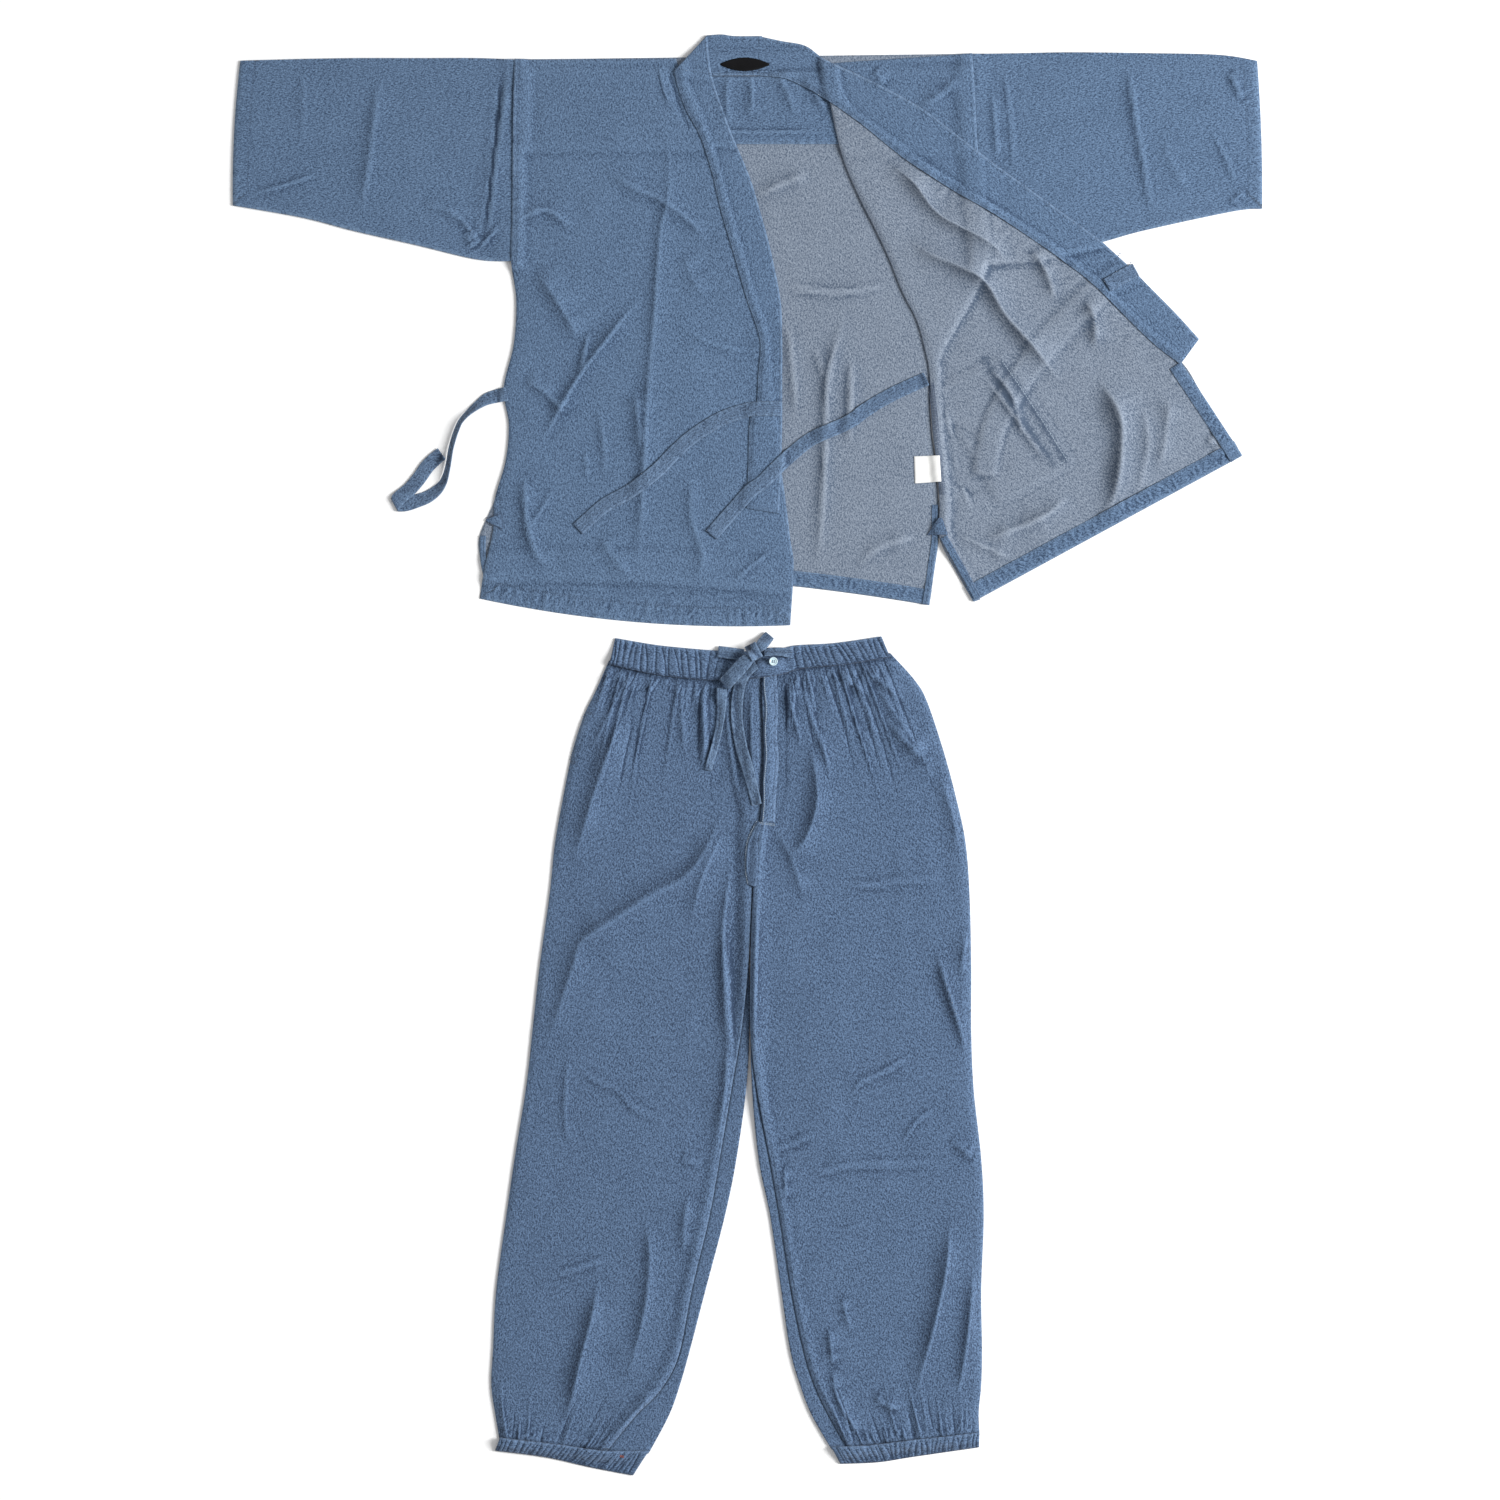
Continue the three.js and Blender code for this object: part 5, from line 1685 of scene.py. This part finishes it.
    def collars(self) -> None:
        """Both halves of the collar, which meet at the centre back under the label."""
        bed = self.shop.bed
        before = bed.heights.copy()
        neck = self.band(COLLAR_RIGHT_NECK, 71)
        with_neck, bed.heights = bed.heights, before
        left = self.band(COLLAR_LEFT, 71, flat=(0, 3))
        bed.heights = np.maximum(bed.heights, with_neck)
        front = self.band(COLLAR_RIGHT_FRONT, 81, flat=(0, 3))
        piece = self.collar("collar_left", Shell([left]))
        piece = self.collar("collar_right", Shell([neck, front]))
        for table in (COLLAR_LEFT, COLLAR_RIGHT_FRONT):
            self.blue.sew((edge(table, "p"), 2.4), (edge(table, "q"), -2.2))
        self.blue.sew(
            (edge(COLLAR_RIGHT_NECK, "p"), -2.4), (section(COLLAR_RIGHT_FRONT[-1]), 3.0),
            (((26, 330), (24, 294)), 0.0), (section(COLLAR_LEFT[-1]), 3.0),
            (((424, 569), (448, 603)), 0.0), (((437, 556), (461, 592)), 0.0),
        )

    def collar(self, node: str, shell: Shell) -> Piece:
        """Makes a collar piece, which is the cloth's face on both sides."""
        return self.shop.keep(shell.mesh(f"{node}_cloth"), "chambray", (self.shop.finishes.face,) * 2, (node,))

    def lay_tape(self, grid: Array, seed: int = 5, rise: float = 0.0) -> Leaf:
        """Lays a tape.

        Args:
            grid: Its points and how far each stands up.
            seed: Seed of its unevenness.
            rise: Height added.

        Returns:
            The leaf.
        """
        plan, stand = grid[..., :2], grid[..., 2]
        t = np.linspace(-1, 1, plan.shape[1])[None, :]
        left, right = (tuple(map(tuple, plan[::4, k])) for k in (0, -1))
        lines = [SeamLine(left, 2.4), SeamLine(right, 2.4)]
        crown = 0.35 * (1 - t**2) + stand + rise
        relief = Relief([], 0.4, 0.35, seed)
        return lay(self.shop.bed, plan, relief, TAPE, Lay.CLOSE, (), None, lines, crown)

    def ties(self) -> None:
        """The ties of the collars and the inner tie."""
        band = self.lay_tape(ribbon(TIE_COLLAR_LEFT_BAND, back=True, first=(-3.8, 7.0)), 91)
        piece = self.shop.tape("tie_collar_left", Shell([self.tail, band]))
        self.shop.free_tape(piece, [self.tail, band], Tapes.TIE)
        for number, (node, route) in enumerate(
            {"tie_collar_right": TIE_COLLAR_RIGHT, "tie_inner": TIE_INNER}.items()
        ):
            leaf = self.lay_tape(ribbon(route), 93 + 3 * number)
            piece = self.shop.tape(node, Shell([leaf]))
            self.shop.free_tape(piece, [leaf], Tapes.TIE)
            self.blue.row(edge(route, "p"), 5.6, 2.6)
            self.blue.row(edge(route, "p"), 0.6, 3.1)

    def side_tie(self) -> None:
        """The tie of the right side seam, which stands on edge for a stretch and folds back at its end."""
        fold = (4.2, -7.7)
        out = self.lay_tape(ribbon(TIE_SIDE_OUT, 2.0, last=fold), 97)
        back = self.lay_tape(ribbon(TIE_SIDE_BACK, 2.0, back=True, first=fold), 99, 0.5)
        piece = self.shop.tape("tie_side_right", Shell([out, back]))
        self.shop.free_tape(piece, [out, back], Tapes.TIE)
        self.blue.row(edge(TIE_SIDE_BACK, "p"), 5.0, 2.6)

    def small_pieces(self) -> None:
        """Labels and the stitched triangles at the top of the vents."""
        looks = {
            "neck_label": (NECK_LABEL, "neck_label", self.shop.finishes.black_label, (0.060, 0.016)),
            "care_label": (CARE_LABEL, "care_label", self.shop.finishes.white_label, (0.033, 0.034)),
        }
        for node, (table, slot, look, flat) in looks.items():
            leaf = self.tab(table, Relief([], 0.25, 0.3, 101), None)
            piece = self.shop.keep(Shell([leaf]).mesh(f"{node}_tab"), slot, (look, look), (node,))
        for node, table in (("vent_tack_right", VENT_TACK_RIGHT), ("vent_tack_left", VENT_TACK_LEFT)):
            leaf = self.tab(table, Relief([], 0.1, 0.2, 103), 0.0)
            piece = self.shop.cloth(node, Shell([leaf], outer=Skin.REVERSE))
            corners = [table[0][0:2], table[0][2:4], table[1][2:4], table[1][0:2], table[0][0:2]]
            for a, b in zip(corners, corners[1:]):
                for aside in (0.0, -2.2) if math.dist(a, b) > 5 else ():
                    self.dark.row((a, b), aside, 1.6, 1.3)

    def tab(self, table: Table, relief: Relief, grain: float | None) -> Leaf:
        """Lays a small flat piece."""
        return lay(self.shop.bed, ruled(table, 1.6), relief, LABEL, Lay.CLOSE, (1, 1, 1, 1), grain)

    def stitching(self) -> None:
        """Makes the stitches of the jacket."""
        for needle in (self.blue, self.dark, self.white):
            needle.make()


def gathers(
    top: Path, down: Path, spacing: Point, height: Point, reach: Point, skip: Point, seed: int
) -> list[Crease]:
    """Creases that run out from an elastic casing. Each pair is the least and the greatest.

    Args:
        top: The casing's seam.
        down: The line that the longest would end on.
        spacing: Distance between them.
        height: Their height.
        reach: Share of the way down.
        skip: Stretch of X without any.
        seed: Their seed.

    Returns:
        The creases.
    """
    random = np.random.default_rng(seed)
    upper, lower = (resampled(np.array(line, float), 1.0) for line in (top, down))
    found, share = [], 0.01
    total = float(len(upper) - 1)
    while share < 0.99:
        a = upper[int(share * (len(upper) - 1))]
        b = lower[int(np.clip(share + random.uniform(-0.03, 0.03), 0, 1) * (len(lower) - 1))]
        far = random.uniform(*reach) ** 1.4
        sunk = random.uniform() < 0.5
        bend = np.array([random.uniform(-5, 5), 0])
        tall, width = random.uniform(*height), random.uniform(1.9, 4.2)
        if not skip[0] < a[0] < skip[1]:
            path = (tuple(a), tuple(a + (b - a) * far * 0.5 + bend * far), tuple(a + (b - a) * far))
            found.append(Crease(path, -tall if sunk else tall, width * (0.5 if sunk else 1), width * 0.7, 0.0, 0.75))
        share += random.uniform(*spacing) / total
    return found


@dataclass
class Trousers:
    """The trousers, front up, gathered at the waist and the cuffs."""

    shop: Workshop
    pitch: Point = (4.6, 2.4)
    hidden: float = 7.0
    plain_front: Point = (-30.0, 50.0)
    grain: dict[str, float] = field(default_factory=lambda: {"right": -9.0, "left": 5.0})

    def __post_init__(self) -> None:
        """Threads the needles."""
        looks = self.shop.finishes
        self.dyed = looks.darker
        self.blue = Seamstress(self.shop, "trousers_stitching", looks.thread)
        self.white = Seamstress(self.shop, "trousers_pale_stitching", looks.white_thread)
        self.red = Seamstress(self.shop, "trousers_bar_tack", looks.red_thread)

    def build(self) -> None:
        """Lays every piece in order."""
        for side in ("right", "left"):
            self.back(side)
        for side in ("right", "left"):
            self.front(side)
        self.placket()
        self.waistband()
        for side in ("right", "left"):
            self.cuff(side)

    def tables(self, side: str) -> tuple[Table, Path, Table]:
        """The front's sections, the inner edge and the cuff of a leg."""
        if side == "right":
            return LEG_RIGHT_FRONT, LEG_RIGHT_INNER, CUFF_RIGHT
        return LEG_LEFT_FRONT, LEG_LEFT_INNER, CUFF_LEFT

    def back(self, side: str) -> None:
        """A back panel: flat on the table, turned up at the inner edge as far as the inseam.

        Args:
            side: Its leg.
        """
        front, inner, _ = self.tables(side)
        sign = 1 if front[0][2] > front[0][0] else -1
        flat = [(row[0], row[1], x, y) for row, (x, y) in zip(front, inner)]
        turn = [
            (x, y, *((x - sign * ALLOWANCE, y) if k < CROTCH_ROW else (row[2] + sign * 0.3, row[3])))
            for k, (row, (x, y)) in enumerate(zip(front, inner))
        ]
        lines = [SeamLine(edge(turn, "q", CROTCH_ROW), 0.0)]
        grain = self.grain[side]
        low = lay(
            self.shop.bed, turned(ruled(flat, self.hidden, 1.0)), Relief([], 0.3, 0.3, 111), CLOTH, Lay.SOFT,
            (6, 0, 6, 6), grain,
        )
        rows = turned(self.fitted(turn, low.plan.shape[1]))
        relief = Relief([], 0.7, 1.3, 113)
        high = lay(self.shop.bed, rows, relief, CLOTH, Lay.CLOSE, (0, 4, 4, 4), grain, lines)
        piece = self.shop.cloth(f"trousers_{side}_back", Shell([low, high]), self.dyed)

    def fitted(self, table: Table, count: int) -> Array:
        """A grid on a table with a given number of lines, even along its p edge."""
        return across_sections(resampled(bowed(table), 1.0, count=count), 10)

    def front(self, side: str) -> None:
        """A front panel with its creases and the gathers of waist and cuff.

        Args:
            side: Its leg.
        """
        table = self.tables(side)[0]
        if side == "right":
            rows, seed, flip, seam_line = CREASES_LEG_RIGHT, 121, slice(None), edge(WAISTBAND, "q", 0, 5)
        else:
            rows, seed, flip, seam_line = CREASES_LEG_LEFT, 131, slice(None, None, -1), edge(WAISTBAND, "q", 4)
        ridges = creases(rows)
        lower = section(table[5])[flip]
        ridges += gathers(seam_line, lower, (6, 11), (1.2, 3.6), (0.25, 0.95), self.plain_front, seed)
        hem_line = section(table[-1])[flip]
        upper = section(table[-4])[flip]
        ridges += puckers(seam_line, 8, 2.6, 22, -14, seed + 6)
        ridges += puckers(hem_line, 7, 1.8, 16, 8, seed + 7)
        ridges += gathers(hem_line, upper, (5, 10), (1.0, 3.0), (0.2, 0.95), (900, 901), seed + 1)
        lines = [SeamLine(edge(table, "p", 1, -1), 0.0), SeamLine(edge(table, "q", 1), 3.0)]
        lines += [SeamLine(seam_line, -2.0), SeamLine(hem_line, -2.0)]
        if side == "right":
            lines.append(SeamLine(POCKET_MOUTH, 3.0))
        grid = ruled(table, self.pitch[0], across=self.pitch[1])
        along = np.linspace(0, 1, grid.shape[0])[:, None]
        swell = 0.7 * (1 - ease(along / 0.16)) + 1.2 * ease((along - 0.86) / 0.14) + 0.9
        relief = Relief(ridges, 1.25, 0.8, seed + 2, self.grain[side])
        leaf = lay(
            self.shop.bed, grid, relief, CLOTH, Lay.SOFT, (30, 9, 9, 7), self.grain[side], lines,
            np.broadcast_to(swell, grid.shape[:2]),
        )
        piece = self.shop.cloth(f"trousers_{side}_front", Shell([leaf], outer=Skin.REVERSE), self.dyed)
        if side == "right":
            self.blue.row(POCKET_MOUTH, -3.0)
            self.blue.row(edge(LEG_RIGHT_FRONT, "q", 1, 8), -3.0)

    def casing(self, table: Table, name: str, spacing: Point, height: float, seed: int) -> Shell:
        """A flat tube of doubled cloth, gathered by elastic.

        Args:
            table: Its sections from the free edge to the seam.
            name: Name of the node.
            spacing: Least and greatest distance between gathers.
            height: Height of the tallest gather.
            seed: Their seed.

        Returns:
            The shell.
        """
        grid = ruled(table, 1.2, across=2.6)
        random = np.random.default_rng(seed)
        length = float(steps_of(grid[:, grid.shape[1] // 2]).sum())
        ridges, at = [], 2.0
        while at < length - 2:
            k = int(at / length * (len(grid) - 1))
            a, b = grid[k, 0], grid[k, -1]
            lean = np.array([random.uniform(-2.2, 2.2), 0])
            tall = -height * random.uniform(0.6, 1.15)
            width = random.uniform(1.4, 2.8)
            if name != "waistband" or not self.plain_front[0] < a[0] < self.plain_front[1]:
                path = (tuple(a - lean), tuple((a + b) / 2 + lean * 0.6), tuple(b + lean))
                ridges.append(Crease(path, tall, width, width, 0.08, 0.08))
            at += random.uniform(*spacing)
        lines = [SeamLine(edge(table, "p"), 3.0), SeamLine(edge(table, "q"), -1.0)]
        under = lay(self.shop.bed, grid, None, CLOTH, Lay.CLOSE, grain=None, seams=lines)
        t = np.linspace(0, 1, grid.shape[1])[None, :]
        channels = 0.25 * np.abs(np.sin(np.pi * 3 * t)) + 0.05
        relief = Relief(ridges, 0.2, height * 0.8, seed + 1)
        over = lay(
            self.shop.bed, grid[::-1].copy(), relief, CASING, Lay.CLOSE, (0, 0, 2.0, 2.0), None, lines,
            np.broadcast_to(channels, grid.shape[:2]),
        )
        return Shell([under, over], joined=True)

    def waistband(self) -> None:
        """The gathered waistband with its plain front."""
        piece = self.shop.cloth("waistband", self.casing(WAISTBAND, "waistband", (5, 12), 2.3, 141), self.dyed)

    def cuff(self, side: str) -> None:
        """A gathered cuff.

        Args:
            side: Its leg.
        """
        table = self.tables(side)[2]
        seed = 151 if side == "right" else 155
        piece = self.shop.cloth(f"cuff_{side}", self.casing(table, "cuff", (3.8, 7.5), 2.2, seed), self.dyed)
        self.blue.row(edge(table, "p"), -3.0 if side == "right" else 3.0, 2.7)
        if side == "right":
            for k in range(3):
                self.red.row(((-153, -839 - k), (-148, -840 - k)), 0.0, 1.2, 1.1)

    def placket(self) -> None:
        """The fly's placket, beside the centre front."""
        lines = [SeamLine(edge(FLY, "p"), 0.0), SeamLine(edge(FLY, "q"), 3.0)]
        relief = Relief(puckers(edge(FLY, "p"), 18, 0.5, 14, 6, 161), 0.4, 0.3, 162)
        leaf = lay(self.shop.bed, ruled(FLY, 2.2), relief, CLOTH, Lay.CLOSE, (0, 2, 1.5, 4), None, lines)
        piece = self.shop.cloth("fly_placket", Shell([leaf], outer=Skin.REVERSE), self.dyed)
        relief = Relief([Crease(((12, -82), (1, -110), (0, -150)), 1.6, 3, 4)], 0.3, 0.4, 164)
        lines = [SeamLine(edge(LAP, "p"), 0.0)]
        lap = lay(self.shop.bed, ruled(LAP, 1.6), relief, CLOTH, Lay.CLOSE, (2, 2, 2, 1), None, lines)
        self.shop.keep(Shell([lap]).mesh("trousers_front_lap"), "chambray", (self.dyed, self.dyed))
        self.white.row(edge(FLY, "p"), 1.2, 2.6, 2.2)
        self.blue.row(edge(FLY, "q"), -3.0)
        for k in range(2):
            self.white.row(((14, -80.5 - k * 1.6), (33, -83 - k * 1.6)), 0.0, 1.7, 1.3)
        self.white.row(edge(LAP, "p"), -0.8, 2.2, 2.0)

    def stitching(self) -> None:
        """Makes the stitches of the trousers."""
        for needle in (self.blue, self.white, self.red):
            needle.make()


@dataclass
class Drawstring:
    """The bow at the waist, its two ends and the waist button."""

    shop: Workshop
    jacket: Jacket
    button_radius: float = 5.1
    button_height: float = 2.4

    HOLE, HOLE_ASIDE = 0.00062, 0.0011  # radius and place of the holes, in metres

    def build(self) -> None:
        """Lays the button, the strands, the ends, the loops and the knot."""
        self.button()
        parts = {}
        for node, route in (("strand_right", STRAND_RIGHT), ("strand_left", STRAND_LEFT)):
            leaf = self.jacket.lay_tape(ribbon(route, 1.6), 171)
            parts[node] = self.shop.tape(f"drawstring_{node}", Shell([leaf]))
        short = self.jacket.lay_tape(ribbon(END_SHORT, 1.8), 173)
        short_piece = self.shop.tape("drawstring_end_short", Shell([short]))
        long = self.jacket.lay_tape(ribbon(END_LONG, 1.8), 175)
        long_piece = self.shop.tape("drawstring_end_long", Shell([long]))
        for number, (node, route) in enumerate((("loop_lower", LOOP_LOWER), ("loop_upper", LOOP_UPPER))):
            parts[node] = self.loop(f"drawstring_{node}", route, 177 + number)
        parts["knot"] = self.knot()
        self.shop.free_tape(
            long_piece, [long], Tapes.STRING,
            (parts["loop_upper"], parts["strand_left"], parts["strand_right"], parts["knot"]),
        )
        self.shop.free_tape(short_piece, [short], Tapes.SHORT, (parts["loop_lower"],))

    def loop(self, node: str, route: Table, seed: int) -> Piece:
        """A puffed loop: the tape runs out, turns and comes back on itself.

        Args:
            node: Its CAD node.
            route: Its centre line.
            seed: Seed of its unevenness.

        Returns:
            The piece.
        """
        grid = ribbon(route, 1.5)
        under = self.jacket.lay_tape(grid, seed)
        puff = 0.9 * np.sin(np.linspace(0, np.pi, len(grid)))[:, None] + 0.4
        over = self.jacket.lay_tape(grid[::-1].copy(), seed + 5, np.broadcast_to(puff, grid.shape[:2]))
        return self.shop.tape(node, Shell([under, over]))

    def knot(self) -> Piece:
        """The wrap of the knot, arched over the strands."""
        grid = ribbon(KNOT_WRAP, 1.2, 8)
        t = np.linspace(-1, 1, len(grid))[:, None]
        arch = 0.6 * np.sqrt(1 - 0.9 * t**2) * np.ones(grid.shape[1])[None, :]
        leaf = self.jacket.lay_tape(grid, 183, arch)
        return self.shop.tape("drawstring_knot", Shell([leaf]))

    def button(self) -> None:
        """The waist button: a dished disc with four holes, sewn on with thread."""
        x, y = BUTTON_PLACE
        around = np.array([(x + dx, y + dy) for dx in (-5, 0, 5) for dy in (-5, 0, 5)], float)
        seat = float(self.shop.bed.top(around).max()) + CLEAR
        radius, height = self.button_radius * MM, self.button_height * MM
        deselected()
        place = (x * MM, y * MM, seat * MM + height / 2)
        bpy.ops.mesh.primitive_cylinder_add(vertices=48, radius=radius, depth=height, location=place)
        disc = bpy.context.object
        disc.name = "waist_button_disc"
        bpy.ops.object.mode_set(mode="EDIT")
        bpy.ops.mesh.select_all(action="DESELECT")
        bpy.ops.object.mode_set(mode="OBJECT")
        for face in disc.data.polygons:
            face.select = face.normal.z > 0.9
        bpy.ops.object.mode_set(mode="EDIT")
        bpy.ops.mesh.inset(thickness=radius * 0.22)
        bpy.ops.mesh.inset(thickness=radius * 0.12)
        bpy.ops.transform.translate(value=(0, 0, -height * 0.3))
        bpy.ops.object.mode_set(mode="OBJECT")
        bpy.ops.object.transform_apply(location=True, rotation=True, scale=True)
        self.apply(disc, "BEVEL", {"width": 0.00035, "segments": 3, "limit_method": "ANGLE"})
        for sx in (-1, 1):
            for sy in (-1, 1):
                hole = (place[0] + sx * self.HOLE_ASIDE, place[1] + sy * self.HOLE_ASIDE, place[2])
                deselected()
                bpy.ops.mesh.primitive_cylinder_add(vertices=16, radius=self.HOLE, depth=height * 2, location=hole)
                drill = bpy.context.object
                self.apply(disc, "BOOLEAN", {"object": drill, "operation": "DIFFERENCE", "solver": "EXACT"})
                bpy.data.objects.remove(drill)
        deselected()
        disc.select_set(True)
        bpy.context.view_layer.objects.active = disc
        bpy.ops.object.shade_smooth_by_angle(angle=math.radians(40))
        self.shop.keep(disc, "button", (self.shop.finishes.button,), ("waist_button",))
        crest = seat + self.button_height * 0.72
        sewing = Seamstress(self.shop, "waist_button_thread", self.shop.finishes.dark_thread, "button")
        middle = np.array([(x - 1.1, y), (x + 1.1, y), (x - 1.35, y), (x + 1.35, y)], float)
        strands = sewing.stitches(middle, np.tile([0.0, 1.0], (4, 1)), 1.7)
        strands[..., 2] += crest - float(self.shop.bed.top(middle).max())
        sewing.rows.append(strands)
        sewing.make()

    def apply(self, piece: Piece, kind: str, settings: dict[str, object]) -> None:
        """Adds a modifier and applies it.

        Args:
            piece: The piece.
            kind: Type of the modifier.
            settings: Its settings.
        """
        modifier = piece.modifiers.new(kind.lower(), kind)
        for name, value in settings.items():
            setattr(modifier, name, value)
        deselected()
        piece.select_set(True)
        bpy.context.view_layer.objects.active = piece
        bpy.ops.object.modifier_apply(modifier=modifier.name)


@dataclass
class Studio:
    """Pale floor, one large soft light from the side, and the camera straight above."""

    finishes: Finishes
    height: float = 5.0
    centre: Point = (0.003, 0.006)
    lens: float = 100.0
    sensor: float = 36.0
    sky: float = 0.5
    lamp_place: Colour = (5.2, 0.2, 3.8)
    lamp_size: Point = (1.8, 3.3)
    lamp_power: float = 640.0

    def camera(self) -> None:
        """Makes the camera."""
        data = bpy.data.cameras.new("camera")
        data.lens, data.sensor_width = self.lens, self.sensor
        data.dof.use_dof = False
        camera = bpy.context.scene.camera = linked("camera", data)
        camera.location = (*self.centre, self.height)

    def floor(self) -> None:
        """Makes the floor."""
        deselected()
        bpy.ops.mesh.primitive_plane_add(size=14.0, location=(0, 0, -0.0005))
        floor = bpy.context.object
        floor.name = "floor"
        bpy.ops.object.transform_apply(location=True, rotation=True, scale=True)
        floor.data.materials.append(FloorPaint().material())

    def light(self) -> None:
        """Makes the lights."""
        world = bpy.data.worlds.new("studio")
        world.use_nodes = True
        background = world.node_tree.nodes["Background"]
        background.inputs["Color"].default_value = (1, 1, 1, 1)
        background.inputs["Strength"].default_value = self.sky
        bpy.context.scene.world = world
        data = bpy.data.lights.new("side_light", "AREA")
        data.shape, data.energy = "RECTANGLE", self.lamp_power
        data.size, data.size_y = self.lamp_size
        lamp = linked("side_light", data)
        lamp.location = self.lamp_place
        aim = -unit(np.array(self.lamp_place))
        lamp.rotation_euler = (math.acos(-aim[2]), 0, math.atan2(aim[1], aim[0]) - math.pi / 2)


def main() -> None:
    """Builds the set and logs its count of nodes and the faces of each piece."""
    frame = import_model()
    LOG.info("frame with %d nodes", len(frame["nodes"]))
    shop = Workshop()
    studio = Studio(shop.finishes)
    studio.camera()
    jacket = Jacket(shop)
    jacket.build()
    trousers = Trousers(shop)
    trousers.build()
    Drawstring(shop, jacket).build()
    trousers.stitching()
    studio.floor()
    studio.light()
    bpy.context.scene.view_settings.view_transform = "Standard"


if __name__ == "__main__":
    main()
